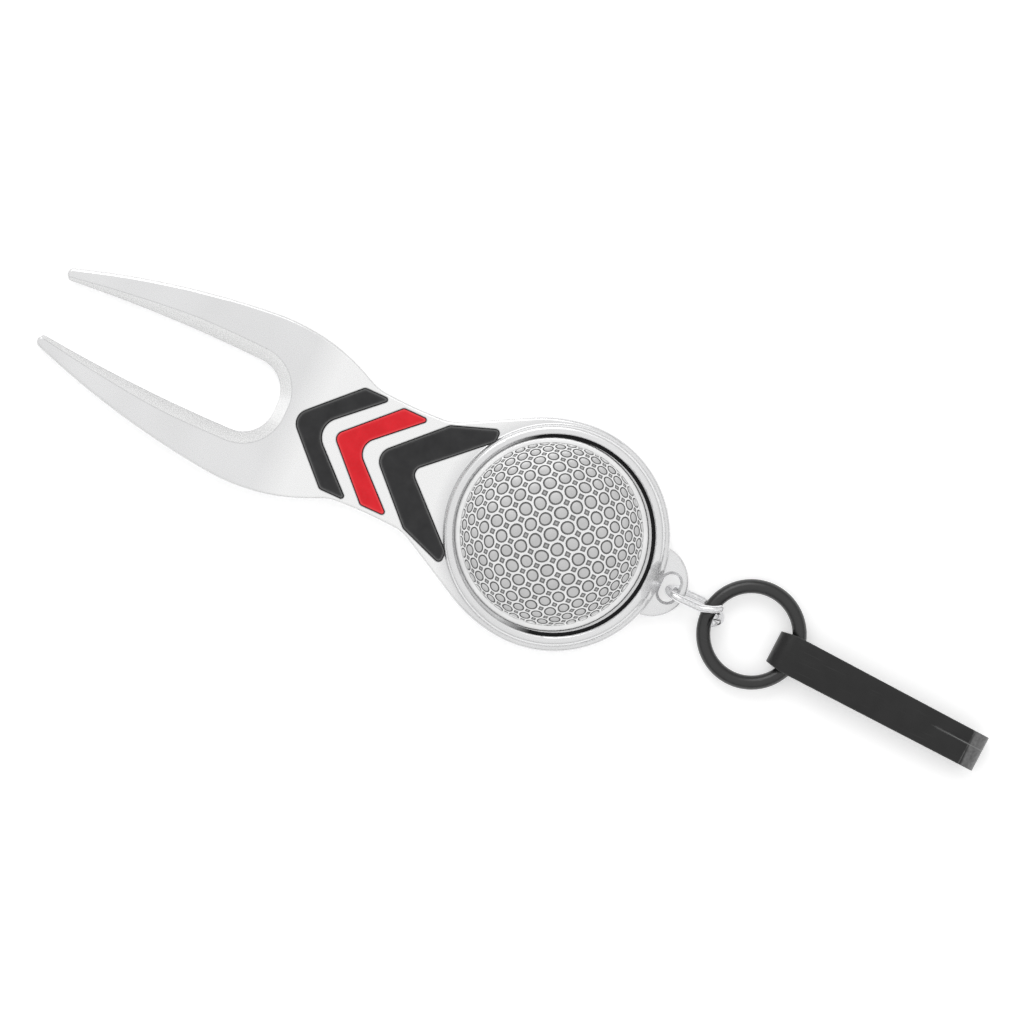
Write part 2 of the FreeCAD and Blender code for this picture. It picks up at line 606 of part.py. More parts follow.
def chevron_sketch(body, chevron, height, gap="0"):
    """The upper half of a chevron, drawn in from its recess by a gap all round."""
    sketch = new_sketch(body, chevron + "_half", height=height)
    name = lambda part: f"Sizes.{chevron}_{part}"
    flat_arm = chevron != "rear"
    formulas = {
        "nose": f"{name('nose')} - {gap}",
        "nose_radius": f"{name('nose_radius')} - {gap}",
        "inner": f"{name('inner')} + {gap}",
        "inner_radius": f"{name('inner_radius')} + {gap}",
        "flank": f"{name('half_width' if flat_arm else 'flank_distance')} - {gap}",
        "flank_angle": "0" if flat_arm else name("flank_angle"),
        "corner": f"{name('corner_radius')} - {gap}",
        "tip": f"{name('tip_radius')} - {gap}",
        "outer_angle": "Sizes.chevron_angle",
        "inner_angle": "Sizes.chevron_inner_angle",
    }
    value = {key: cell(sketch, formula) for key, formula in formulas.items()}

    outer, inner, flank_angle = value["outer_angle"], value["inner_angle"], value["flank_angle"]
    nose_centre = (value["nose_radius"] - value["nose"], 0)
    inner_centre = (value["inner_radius"] - value["inner"], 0)
    nose_end = along(nose_centre, 90 + outer, value["nose_radius"])
    inner_end = along(inner_centre, 90 + inner, value["inner_radius"])
    flank_point = along((0, 0), 90 + flank_angle, value["flank"])
    shoulder = crossing(nose_end, outer, flank_point, flank_angle)
    corner = left_corner(shoulder, flank_angle + 180, outer + 180, value["corner"])

    nose_arc = add_arc(sketch, nose_centre, nose_end, (-value["nose"], 0))
    axis_line = add_line(sketch, (-value["nose"], 0), (-value["inner"], 0))
    inner_arc = add_arc(sketch, inner_centre, inner_end, (-value["inner"], 0))
    if flat_arm:
        point = crossing(inner_end, inner, flank_point, flank_angle)
        tip = left_corner(point, inner, flank_angle + 180, value["tip"])
        inner_line = add_line(sketch, inner_end, tip[0])
        tip_arc = add_arc(sketch, tip[1], tip[0], tip[2])
        rule(sketch, "Tangent", inner_line, POINT_END, tip_arc, POINT_START)
    else:
        arm_end = cell(sketch, f"Sizes.rear_arm_end + {gap}")
        low_point = crossing(inner_end, inner, (-arm_end, 0), 90)
        high_point = crossing(flank_point, flank_angle, (-arm_end, 0), 90)
        low = left_corner(low_point, inner, 90, value["tip"])
        tip = left_corner(high_point, 90, flank_angle + 180, value["tip"])
        inner_line = add_line(sketch, inner_end, low[0])
        low_arc = add_arc(sketch, low[1], low[0], low[2])
        end_line = add_line(sketch, low[2], tip[0])
        tip_arc = add_arc(sketch, tip[1], tip[0], tip[2])
        rule(sketch, "Tangent", inner_line, POINT_END, low_arc, POINT_START)
        rule(sketch, "Tangent", low_arc, POINT_END, end_line, POINT_START)
        rule(sketch, "Tangent", end_line, POINT_END, tip_arc, POINT_START)
        rule(sketch, "Vertical", end_line)
        rule(sketch, "Equal", low_arc, tip_arc)
        size(sketch, "arm_end", f"Sizes.rear_arm_end + {gap}", "DistanceX",
             end_line, POINT_START, *ORIGIN)
    flank_line = add_line(sketch, corner[0], tip[2])
    corner_arc = add_arc(sketch, corner[1], corner[0], corner[2])
    outer_line = add_line(sketch, nose_end, corner[2])

    rule(sketch, "Coincident", nose_arc, POINT_END, axis_line, POINT_START)
    rule(sketch, "Coincident", axis_line, POINT_END, inner_arc, POINT_END)
    rule(sketch, "PointOnObject", nose_arc, POINT_CENTRE, AXIS_X)
    rule(sketch, "PointOnObject", nose_arc, POINT_END, AXIS_X)
    rule(sketch, "PointOnObject", inner_arc, POINT_CENTRE, AXIS_X)
    rule(sketch, "PointOnObject", inner_arc, POINT_END, AXIS_X)
    rule(sketch, "Tangent", inner_arc, POINT_START, inner_line, POINT_START)
    rule(sketch, "Tangent", tip_arc, POINT_END, flank_line, POINT_END)
    rule(sketch, "Tangent", flank_line, POINT_START, corner_arc, POINT_START)
    rule(sketch, "Tangent", corner_arc, POINT_END, outer_line, POINT_END)
    rule(sketch, "Tangent", outer_line, POINT_START, nose_arc, POINT_START)
    size(sketch, "nose", formulas["nose"], "DistanceX", nose_arc, POINT_END, *ORIGIN)
    size(sketch, "nose_radius", formulas["nose_radius"], "Radius", nose_arc)
    size(sketch, "inner", formulas["inner"], "DistanceX", inner_arc, POINT_END, *ORIGIN)
    size(sketch, "inner_radius", formulas["inner_radius"], "Radius", inner_arc)
    size(sketch, "corner", formulas["corner"], "Radius", corner_arc)
    size(sketch, "tip", formulas["tip"], "Radius", tip_arc)
    size(sketch, "outer_angle", formulas["outer_angle"], "Angle", outer_line)
    size(sketch, "inner_angle", formulas["inner_angle"], "Angle", inner_line)
    size(sketch, "flank", formulas["flank"], "Distance", *ORIGIN, flank_line)
    if flat_arm:
        rule(sketch, "Horizontal", flank_line)
    else:
        size(sketch, "flank_angle", formulas["flank_angle"], "Angle", flank_line)
    return sketch


def cut_plate(body):
    """The flat fork and head: the outline, the step round the head, and the taper."""
    plate = pad(body, outline_sketch(body), "half_plate", "Sizes.head_thickness")
    plate = mirror(body, [plate], "whole_plate")
    on_back = lambda edge, middle: abs(edge.BoundBox.ZMax) < SAME
    round_edges(body, plate, "back_rounding", "Sizes.back_round", on_back)

    rim = body.newObject("PartDesign::Groove", "rim_turning")
    rim.Profile = rim_sketch(body)
    rim.ReferenceAxis = (rim.Profile[0], ["V_Axis"])
    rim.Angle = 360

    taper = pocket(body, taper_sketch(body), "prong_taper", "4 * Sizes.hip_half_width")
    taper.SideType = "Symmetric"
    return taper


def round_land(body, plate):
    """Rounds the land's whole edge, which is smooth right round and starts at the waist."""
    waist = cell(plate, "Sizes.waist_distance")
    half = cell(plate, "Sizes.waist_half_width")
    land = cell(plate, "Sizes.land_thickness")

    def on_waist(edge, middle):
        beside = abs(middle.x + waist) < half and abs(abs(middle.y) - half) < half / 5
        return beside and abs(middle.z - land) < SAME and edge.Length > half / 2
    round_edges(body, plate, "land_rounding", "Sizes.top_round", on_waist)


def add_lug(body):
    """The eye plate at the head's end, with its rounded rim and oval hole."""
    disc = circle_sketch(body, "lug_disc", "Sizes.lug_radius", LUG_CENTRE,
                         "Sizes.lug_bottom")
    plate = pad(body, disc, "lug_plate", "Sizes.lug_thickness")
    centre = cell(body, LUG_CENTRE)
    radius = cell(body, "Sizes.lug_radius")
    faces = (cell(body, "Sizes.lug_bottom"), cell(body, "Sizes.lug_bottom + Sizes.lug_thickness"))

    def on_rim(edge, middle):
        on_face = min(abs(middle.z - height) for height in faces) < SAME
        away = math.hypot(middle.x - centre, middle.y)
        return on_face and abs(away - radius) < SAME
    round_edges(body, plate, "lug_rounding", "Sizes.lug_round", on_rim)
    oval = lug_hole_sketch(body, "lug_hole_oval", "Sizes.head_thickness")
    pocket(body, oval, "lug_hole", "Sizes.head_thickness")
    sink = lug_hole_sketch(body, "lug_sink_oval",
                           "Sizes.lug_bottom + Sizes.lug_thickness - Sizes.lug_hole_bevel")
    flared_pocket(body, sink, "lug_hole_sink", "Sizes.head_thickness")


def sink_pockets(body):
    """The marker's round pocket and, in its floor, the magnet's."""
    top = cell(body, "Sizes.head_thickness")
    radius = cell(body, "Sizes.marker_pocket_radius")
    marker = circle_sketch(body, "marker_round", "Sizes.marker_pocket_radius",
                           height="Sizes.head_thickness")
    marker_pocket = pocket(body, marker, "marker_pocket", "Sizes.marker_pocket_depth")

    def on_mouth(edge, middle):
        away = math.hypot(middle.x, middle.y)
        return abs(middle.z - top) < SAME and abs(away - radius) < SAME
    round_edges(body, marker_pocket, "pocket_rounding", "Sizes.marker_pocket_round", on_mouth)
    magnet = circle_sketch(body, "magnet_round", "Sizes.magnet_radius + Sizes.magnet_gap",
                           height="Sizes.head_thickness - Sizes.marker_pocket_depth")
    pocket(body, magnet, "magnet_pocket", "Sizes.magnet_thickness")


def make_tool_body(doc):
    """The cast fork, neck, head and lug, with every recess that holds another piece."""
    body = new_body(doc, "tool_body")
    plate = cut_plate(body)
    round_land(body, plate)

    flared_pocket(body, slot_sketch(body), "slot_bevel", "Sizes.head_thickness")
    add_lug(body)
    sink_pockets(body)

    depth = "Sizes.head_thickness - Sizes.land_thickness + Sizes.recess_depth"
    recesses = []
    for chevron in ("front", "middle", "rear"):
        sketch = chevron_sketch(body, chevron, "Sizes.head_thickness")
        recesses.append(pocket(body, sketch, chevron + "_recess", depth))
    mirror(body, recesses, "whole_recesses")
    doc.recompute()
    return body


# ------------------------------------------------- inlays, magnet and marker

def make_inlay(doc, chevron):
    """A chevron inlay, which stands a little proud of its recess."""
    body = new_body(doc, chevron + "_chevron")
    sketch = chevron_sketch(body, chevron, "Sizes.land_thickness - Sizes.recess_depth",
                            "Sizes.inlay_gap")
    half = pad(body, sketch, chevron + "_pad", "Sizes.recess_depth + Sizes.inlay_proud")
    whole = mirror(body, [half], chevron + "_whole")
    doc.recompute()
    top = whole.Shape.BoundBox.ZMax
    on_top = lambda edge, middle: edge.BoundBox.ZMin > top - 1e-4
    bevel_edges(body, whole, chevron + "_bevel", "Sizes.inlay_bevel", on_top)
    doc.recompute()
    return body


def make_marker_magnet(doc):
    """The disc magnet glued in the floor of the marker pocket."""
    magnet = doc.addObject("Part::Cylinder", "marker_magnet")
    magnet.Label = "marker_magnet"
    magnet.setExpression("Radius", "Sizes.magnet_radius")
    magnet.setExpression("Height", "Sizes.magnet_thickness")
    magnet.setExpression("Placement.Base.z", "Sizes.head_thickness - Sizes.marker_pocket_depth"
                         " - Sizes.magnet_thickness")
    return magnet


def make_ball_marker(doc):
    """The loose marker: a flat-backed coin with a smooth rim round a low dome."""
    body = new_body(doc, "ball_marker")
    sketch = new_sketch(body, "coin_profile", role="XZ_Plane")
    value = lambda name: cell(sketch, "Sizes." + name)
    radius = value("marker_pocket_radius") - value("marker_gap")
    edge = value("marker_edge_thickness")
    bend = value("marker_round")
    dome_start = radius - value("marker_rim_width")
    crown = edge + value("marker_dome_height")
    dome_radius = (dome_start**2 + value("marker_dome_height")**2) / (2 * value("marker_dome_height"))

    axis = add_line(sketch, (0, crown), (0, 0))
    back = add_line(sketch, (0, 0), (radius - bend, 0))
    low_arc = add_arc(sketch, (radius - bend, bend), (radius - bend, 0), (radius, bend))
    side = add_line(sketch, (radius, bend), (radius, edge - bend))
    high_arc = add_arc(sketch, (radius - bend, edge - bend), (radius, edge - bend),
                       (radius - bend, edge))
    rim = add_line(sketch, (radius - bend, edge), (dome_start, edge))
    dome = add_arc(sketch, (0, crown - dome_radius), (dome_start, edge), (0, crown))
    rule(sketch, "Coincident", axis, POINT_END, back, POINT_START)
    rule(sketch, "Tangent", back, POINT_END, low_arc, POINT_START)
    rule(sketch, "Tangent", low_arc, POINT_END, side, POINT_START)
    rule(sketch, "Tangent", side, POINT_END, high_arc, POINT_START)
    rule(sketch, "Tangent", high_arc, POINT_END, rim, POINT_START)
    rule(sketch, "Coincident", rim, POINT_END, dome, POINT_START)
    rule(sketch, "Coincident", dome, POINT_END, axis, POINT_START)
    rule(sketch, "Coincident", axis, POINT_END, *ORIGIN)
    rule(sketch, "PointOnObject", dome, POINT_CENTRE, -2)
    rule(sketch, "Horizontal", back)
    rule(sketch, "Horizontal", rim)
    rule(sketch, "Vertical", axis)
    rule(sketch, "Equal", low_arc, high_arc)
    size(sketch, "bend", "Sizes.marker_round", "Radius", low_arc)
    size(sketch, "radius", "Sizes.marker_pocket_radius - Sizes.marker_gap", "DistanceX",
         *ORIGIN, side, POINT_START)
    size(sketch, "edge", "Sizes.marker_edge_thickness", "DistanceY", *ORIGIN, rim, POINT_START)
    size(sketch, "rim", "Sizes.marker_rim_width", "DistanceX", rim, POINT_END, side, POINT_START)
    size(sketch, "crown", "Sizes.marker_edge_thickness + Sizes.marker_dome_height", "DistanceY",
         *ORIGIN, axis, POINT_START)
    coin = body.newObject("PartDesign::Revolution", "coin")
    coin.Profile = sketch
    coin.ReferenceAxis = (sketch, ["V_Axis"])
    coin.Angle = 360
    body.setExpression("Placement.Base.x", "-Sizes.marker_shift")
    body.setExpression("Placement.Base.z", "Sizes.head_thickness - Sizes.marker_pocket_depth")
    return body


def make_jump_ring(doc):
    """The split wire ring: an oval on edge through the lug, leaning to one side."""
    body = new_body(doc, "jump_ring")
    path = new_sketch(body, "oval_path", role="XZ_Plane")
    end = cell(path, JUMP_END)
    half = cell(path, "Sizes.jump_straight / 2")
    split = cell(path, "Sizes.jump_split")
    right_start = add_arc(path, (half, 0), (half + end, 0), (half, end))
    top = add_line(path, (half, end), (-half, end))
    left = add_arc(path, (-half, 0), (-half, end), (-half, -end))
    low = add_line(path, (-half, -end), (half, -end))
    right_end = add_arc(path, (half, 0), (half, -end), along((half, 0), -split, end))
    rule(path, "Tangent", right_start, POINT_END, top, POINT_START)
    rule(path, "Tangent", top, POINT_END, left, POINT_START)
    rule(path, "Tangent", left, POINT_END, low, POINT_START)
    rule(path, "Tangent", low, POINT_END, right_end, POINT_START)
    rule(path, "Horizontal", top)
    rule(path, "Horizontal", low)
    rule(path, "Coincident", right_start, POINT_CENTRE, right_end, POINT_CENTRE)
    rule(path, "PointOnObject", right_start, POINT_CENTRE, AXIS_X)
    rule(path, "PointOnObject", right_start, POINT_START, AXIS_X)
    size(path, "end", JUMP_END, "Radius", left)
    size(path, "half", "Sizes.jump_straight / 2", "DistanceX", *ORIGIN, right_start, POINT_CENTRE)
    size(path, "other_half", "Sizes.jump_straight / 2", "DistanceX", left, POINT_CENTRE, *ORIGIN)
    size(path, "gap", f"{JUMP_END} * sin(Sizes.jump_split * 1 deg)", "DistanceY",
         right_end, POINT_END, *ORIGIN)
    wire = circle_sketch(body, "wire_round", "Sizes.jump_wire_radius",
                         f"Sizes.jump_straight / 2 + {JUMP_END}")
    doc.recompute()
    sweep_along(body, "jump_wire", wire, path)
    body.setExpression("Placement.Base.x", f"{JUMP_START} + {JUMP_END}"
                       " + Sizes.jump_straight / 2")
    body.setExpression("Placement.Base.y", "-Sizes.jump_side")
    body.setExpression("Placement.Base.z", f"{JUMP_END} * cos(Sizes.jump_lean * 1 deg)"
                       " + Sizes.jump_wire_radius")
    body.Placement.Rotation = FreeCAD.Rotation(FreeCAD.Vector(1, 0, 0), 1)
    body.setExpression("Placement.Rotation.Angle", "Sizes.jump_lean * 1 deg")
    return body


def sweep_along(body, name, profile, path):
    """A pipe of the profile along every edge of the path sketch."""
    pipe = body.newObject("PartDesign::AdditivePipe", name)
    pipe.Profile = profile
    pipe.Spine = (path, [f"Edge{number}" for number in range(1, len(path.Shape.Edges) + 1)])
    return pipe


def make_carrier_ring(doc):
    """The black ring of round wire that joins the jump ring to the clip."""
    ring = doc.addObject("Part::Torus", "carrier_ring")
    ring.Label = "carrier_ring"
    ring.setExpression("Radius1", "Sizes.ring_radius")
    ring.setExpression("Radius2", "Sizes.ring_wire_radius")
    ring.setExpression("Placement.Base.x", RING_CENTRE)
    ring.setExpression("Placement.Base.y", "-Sizes.ring_side")
    ring.setExpression("Placement.Base.z", STRIP_LIFT)
    return ring


def strip_section(body, name, height=None):
    """The strip's cross-section across the end of the bend, as wide as the strip gets."""
    sketch = new_sketch(body, name, height=height)
    width = "Sizes.clip_shoulder_width" if height is None else "Sizes.tongue_width"
    middle = cell(sketch, CLIP_BEND_END)
    half = cell(sketch, "Sizes.strip_thickness / 2")
    side = cell(sketch, width) / 2
    corners = [(middle - half, -side), (middle + half, -side),
               (middle + half, side), (middle - half, side)]
    lines = [add_line(sketch, corners[i], corners[(i + 1) % 4]) for i in range(4)]
    for i in range(4):
        rule(sketch, "Coincident", lines[i], POINT_END, lines[(i + 1) % 4], POINT_START)
    rule(sketch, "Horizontal", lines[0])
    rule(sketch, "Horizontal", lines[2])
    rule(sketch, "Vertical", lines[1])
    rule(sketch, "Symmetric", lines[0], POINT_START, lines[3], POINT_START, AXIS_X)
    size(sketch, "thickness", "Sizes.strip_thickness", "DistanceX",
         lines[0], POINT_START, lines[0], POINT_END)
    size(sketch, "width", width, "DistanceY", lines[1], POINT_START, lines[1], POINT_END)
    size(sketch, "middle", CLIP_BEND_END + " - Sizes.strip_thickness / 2", "DistanceX",
         *ORIGIN, lines[0], POINT_START)
    return sketch


def arm_path(body):
    """The strip's middle line: half the end bend, the arm, and the eye's roll."""
    path = new_sketch(body, "arm_path", role="XZ_Plane")
    roll = cell(path, STRIP_ROLL)
    half = cell(path, "Sizes.eye_stretch / 2")
    bend = cell(path, "Sizes.clip_bend_distance")
    eye_end = cell(path, "Sizes.eye_end_angle")
    bend_arc = add_arc(path, (bend, 0), (bend + roll, 0), (bend, roll))
    arm = add_line(path, (bend, roll), (-half, roll))
    left = add_arc(path, (-half, 0), (-half, roll), (-half, -roll))
    low = add_line(path, (-half, -roll), (half, -roll))
    right = add_arc(path, (half, 0), (half, -roll), along((half, 0), eye_end, roll))
    rule(path, "Tangent", bend_arc, POINT_END, arm, POINT_START)
    rule(path, "Tangent", arm, POINT_END, left, POINT_START)
    rule(path, "Tangent", left, POINT_END, low, POINT_START)
    rule(path, "Tangent", low, POINT_END, right, POINT_START)
    rule(path, "Horizontal", arm)
    rule(path, "Horizontal", low)
    rule(path, "PointOnObject", bend_arc, POINT_START, AXIS_X)
    rule(path, "PointOnObject", bend_arc, POINT_CENTRE, AXIS_X)
    rule(path, "PointOnObject", left, POINT_CENTRE, AXIS_X)
    size(path, "roll", STRIP_ROLL, "Radius", left)
    size(path, "bend", "Sizes.clip_bend_distance", "DistanceX", *ORIGIN, bend_arc, POINT_CENTRE)
    size(path, "left", "Sizes.eye_stretch / 2", "DistanceX", left, POINT_CENTRE, *ORIGIN)
    size(path, "right", "Sizes.eye_stretch / 2", "DistanceX", *ORIGIN, right, POINT_CENTRE)
    size(path, "eye_end", f"({STRIP_ROLL}) * sin(Sizes.eye_end_angle * 1 deg)", "DistanceY",
         *ORIGIN, right, POINT_END)
    return path


def arm_trim_sketch(body):
    """What is cut off one side of the arm, which is widest just past the eye."""
    sketch = new_sketch(body, "arm_trim")
    value = lambda name: cell(sketch, "Sizes." + name)
    left = -value("eye_stretch") / 2 - cell(sketch, STRIP_ROLL) - OVERCUT
    right = cell(sketch, CLIP_BEND_END) + OVERCUT
    outside = value("clip_shoulder_width") / 2 + OVERCUT
    start = (left, value("clip_eye_width") / 2)
    shoulder = (-value("clip_shoulder_distance"), value("clip_shoulder_width") / 2)
    end = (right, value("clip_end_width") / 2)
    corners = [start, shoulder, end, (right, outside), (left, outside)]
    lines = [add_line(sketch, corners[i], corners[(i + 1) % 5]) for i in range(5)]
    for i in range(5):
        rule(sketch, "Coincident", lines[i], POINT_END, lines[(i + 1) % 5], POINT_START)
    rule(sketch, "Vertical", lines[2])
    rule(sketch, "Horizontal", lines[3])
    rule(sketch, "Vertical", lines[4])
    size(sketch, "eye_side", "Sizes.clip_eye_width / 2", "DistanceY", *ORIGIN, lines[0], POINT_START)
    size(sketch, "shoulder_side", "Sizes.clip_shoulder_width / 2", "DistanceY",
         *ORIGIN, lines[1], POINT_START)
    size(sketch, "end_side", "Sizes.clip_end_width / 2", "DistanceY", *ORIGIN, lines[2], POINT_START)
    size(sketch, "outside", f"Sizes.clip_shoulder_width / 2 + {OVERCUT}", "DistanceY",
         *ORIGIN, lines[3], POINT_START)
    size(sketch, "left", f"Sizes.eye_stretch / 2 + {STRIP_ROLL} + {OVERCUT}", "DistanceX",
         lines[0], POINT_START, *ORIGIN)
    size(sketch, "shoulder_x", "Sizes.clip_shoulder_distance", "DistanceX",
         lines[1], POINT_START, *ORIGIN)
    size(sketch, "right", f"{CLIP_BEND_END} + {OVERCUT}", "DistanceX", *ORIGIN, lines[2], POINT_START)
    return sketch


def place_clip(body):
    """Sets a clip piece with its eye round the carrier ring, in line with the ring's centre."""
    body.Placement.Rotation = FreeCAD.Rotation(FreeCAD.Vector(0, 0, -1), 1)
    body.setExpression("Placement.Rotation.Angle", "Sizes.clip_turn * 1 deg")
    body.setExpression("Placement.Base.x", f"{RING_CENTRE} + {EYE_OFFSET}"
                       " * cos(Sizes.clip_turn * 1 deg)")
    body.setExpression("Placement.Base.y", "-Sizes.ring_side"
                       f" - {EYE_OFFSET} * sin(Sizes.clip_turn * 1 deg)")
    body.setExpression("Placement.Base.z", STRIP_LIFT)


def make_clip_arm(doc):
    """The clip's upper strip, from the rolled eye to the middle of the end bend."""
    body = new_body(doc, "clip_arm")
    path = arm_path(body)
    section = strip_section(body, "arm_section")
    doc.recompute()
    sweep_along(body, "arm_strip", section, path)
    trim = pocket(body, arm_trim_sketch(body), "arm_trim_cut", f"4 * ({STRIP_ROLL})")
    trim.SideType = "Symmetric"
    mirror(body, [trim], "both_trims")
    place_clip(body)
    return body


def tongue_path(body):
    """The middle line of the springing strip: half the bend, the tongue and its lip."""
    path = new_sketch(body, "tongue_path", role="XZ_Plane")
    value = lambda name: cell(path, "Sizes." + name)
    gap = value("clip_cut_gap")
    radius = cell(path, TONGUE_BEND)
    centre = (value("clip_bend_distance") + gap, -gap)
    rise = value("tongue_rise_angle")
    lip = value("tongue_lip_angle")
    leave = along(centre, -90 - rise, radius)
    nip = crossing(leave, 180 - rise, (value("tongue_nip_distance"), 0), 90)
    nip_arc = left_corner(nip, 180 - rise, 180 + lip, value("tongue_nip_radius"))
    end = crossing(nip_arc[2], 180 + lip, (value("tongue_lip_distance"), 0), 90)

    bend_arc = add_arc(path, centre, leave, (centre[0] + radius, -gap))
    tongue = add_line(path, nip_arc[0], leave)
    turn = add_arc(path, nip_arc[1], nip_arc[0], nip_arc[2])
    lip_line = add_line(path, end, nip_arc[2])
    rule(path, "Tangent", bend_arc, POINT_START, tongue, POINT_END)
    rule(path, "Tangent", tongue, POINT_START, turn, POINT_START)
    rule(path, "Tangent", turn, POINT_END, lip_line, POINT_END)
    rule(path, "Horizontal", bend_arc, POINT_CENTRE, bend_arc, POINT_END)
    size(path, "bend", TONGUE_BEND, "Radius", bend_arc)
    size(path, "bend_x", "Sizes.clip_bend_distance + Sizes.clip_cut_gap", "DistanceX",
         *ORIGIN, bend_arc, POINT_CENTRE)
    size(path, "bend_y", "Sizes.clip_cut_gap", "DistanceY", bend_arc, POINT_CENTRE, *ORIGIN)
    size(path, "rise", "-Sizes.tongue_rise_angle", "Angle", tongue)
    size(path, "nip", "Sizes.tongue_nip_radius", "Radius", turn)
    size(path, "nip_x", "Sizes.tongue_nip_distance", "DistanceX", *ORIGIN, turn, POINT_CENTRE)
    size(path, "lip", "Sizes.tongue_lip_angle", "Angle", lip_line)
    size(path, "lip_x", "Sizes.tongue_lip_distance", "DistanceX", *ORIGIN, lip_line, POINT_START)
    return path


def make_clip_tongue(doc):
    """The clip's lower strip, which springs open from the middle of the end bend."""
    body = new_body(doc, "clip_tongue")
    path = tongue_path(body)
    section = strip_section(body, "tongue_section", height="-Sizes.clip_cut_gap")
    doc.recompute()
    sweep_along(body, "tongue_strip", section, path)
    place_clip(body)
    return body


# -------------------------------------------------------------------- main

def check_document(doc):
    """Stops if any object failed to rebuild."""
    failed = [thing for thing in doc.Objects if {"Invalid", "Error"} & set(thing.State)]
    if failed:
        raise RuntimeError("\n".join(f"{thing.Name}: {thing.getStatusString()}" for thing in failed))


def write_piece(piece):
    """Checks one piece and writes its STEP file, named for its node."""
    shape = piece.Shape
    if shape.isNull() or not shape.isValid():
        raise RuntimeError(f"{piece.Label} has no valid shape")
    if len(shape.Solids) != 1:
        raise RuntimeError(f"{piece.Label} has {len(shape.Solids)} solids")
    shape.exportStep(f"parts/{piece.Label}.step")
    box = shape.BoundBox
    print(f"{piece.Label:16s} volume {shape.Volume:9.3f}  x {box.XMin:7.2f} {box.XMax:7.2f}"
          f"  y {box.YMin:7.2f} {box.YMax:7.2f}  z {box.ZMin:6.2f} {box.ZMax:6.2f}")


def main():
    doc = FreeCAD.newDocument("divot_repair_tool")
    make_sheet(doc)
    pieces = [make_tool_body(doc)]
    pieces += [make_inlay(doc, chevron) for chevron in ("front", "middle", "rear")]
    pieces += [make_marker_magnet(doc), make_ball_marker(doc), make_jump_ring(doc)]
    pieces += [make_carrier_ring(doc), make_clip_arm(doc), make_clip_tongue(doc)]
    doc.recompute()
    check_document(doc)
    os.makedirs("parts", exist_ok=True)
    for piece in pieces:
        write_piece(piece)


main()
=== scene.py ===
import json
import math

import bmesh
import bpy
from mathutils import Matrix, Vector, noise


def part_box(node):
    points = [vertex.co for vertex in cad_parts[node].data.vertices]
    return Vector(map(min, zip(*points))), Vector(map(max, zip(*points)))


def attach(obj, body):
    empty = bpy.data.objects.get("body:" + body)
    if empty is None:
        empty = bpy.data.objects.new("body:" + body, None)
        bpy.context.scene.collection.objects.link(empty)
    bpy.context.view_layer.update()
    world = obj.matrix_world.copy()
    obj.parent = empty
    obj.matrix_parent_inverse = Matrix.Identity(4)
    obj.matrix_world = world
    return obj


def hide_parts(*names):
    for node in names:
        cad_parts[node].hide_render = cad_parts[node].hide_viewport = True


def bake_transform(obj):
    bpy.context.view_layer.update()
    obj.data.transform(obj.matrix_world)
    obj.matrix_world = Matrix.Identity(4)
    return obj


# A divot repair tool lying on its back: a nickel plated fork with enamelled
# chevrons, a struck ball marker in its pocket, a split jump ring, a black
# carrier ring and a folded belt clip. Metres, in the frame of the CAD model.

MM = 0.001
IN_MM = (1 / MM,) * 3
CUT_CLOSE = 1e-7
MERGE_CLOSE = 1e-6
TRIM_CLOSE = 5e-6

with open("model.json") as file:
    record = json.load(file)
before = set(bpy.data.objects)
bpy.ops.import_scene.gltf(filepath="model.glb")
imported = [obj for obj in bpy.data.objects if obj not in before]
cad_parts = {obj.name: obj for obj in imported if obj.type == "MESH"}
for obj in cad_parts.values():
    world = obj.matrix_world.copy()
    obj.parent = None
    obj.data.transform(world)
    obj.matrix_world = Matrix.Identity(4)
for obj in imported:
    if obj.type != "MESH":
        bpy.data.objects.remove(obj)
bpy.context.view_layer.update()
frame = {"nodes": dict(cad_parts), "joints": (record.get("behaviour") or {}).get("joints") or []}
JOINTS = {joint["name"]: joint for joint in frame["joints"]}


# ------------------------------------------------------------------ camera

VIEW_MIDDLE = (-6.0 * MM, 0.45 * MM)
VIEW_TURN = 24.6
VIEW_WIDTH = 128 * MM
VIEW_LENS = 200.0
SENSOR_WIDTH = 36.0
FACE_HEIGHT = 3 * MM


def set_camera():
    """A long lens straight above the tool, turned so that the fork is upper left.

    The view is VIEW_WIDTH wide at the height of the tool's face.
    """
    bpy.ops.object.camera_add()
    camera = bpy.context.object
    camera.name = "overhead_camera"
    camera.data.lens = VIEW_LENS
    camera.data.sensor_width = SENSOR_WIDTH
    distance = VIEW_WIDTH * VIEW_LENS / SENSOR_WIDTH
    camera.location = (*VIEW_MIDDLE, FACE_HEIGHT + distance)
    camera.rotation_euler = (0, 0, math.radians(VIEW_TURN))
    camera.data.clip_start = 0.01
    camera.data.clip_end = 20
    bpy.context.scene.camera = camera


set_camera()


# ---------------------------------------------------------- modelling tools

def deselect_all():
    """Clears the selection."""
    for thing in list(bpy.context.selected_objects):
        thing.select_set(False)


def begin(name):
    """Names the primitive that was just added and opens it for editing."""
    piece = bpy.context.object
    piece.name = name
    piece.data.name = name
    bpy.ops.object.mode_set(mode="EDIT")
    return piece


def end():
    """Closes the piece that is being edited."""
    bpy.ops.object.mode_set(mode="OBJECT")


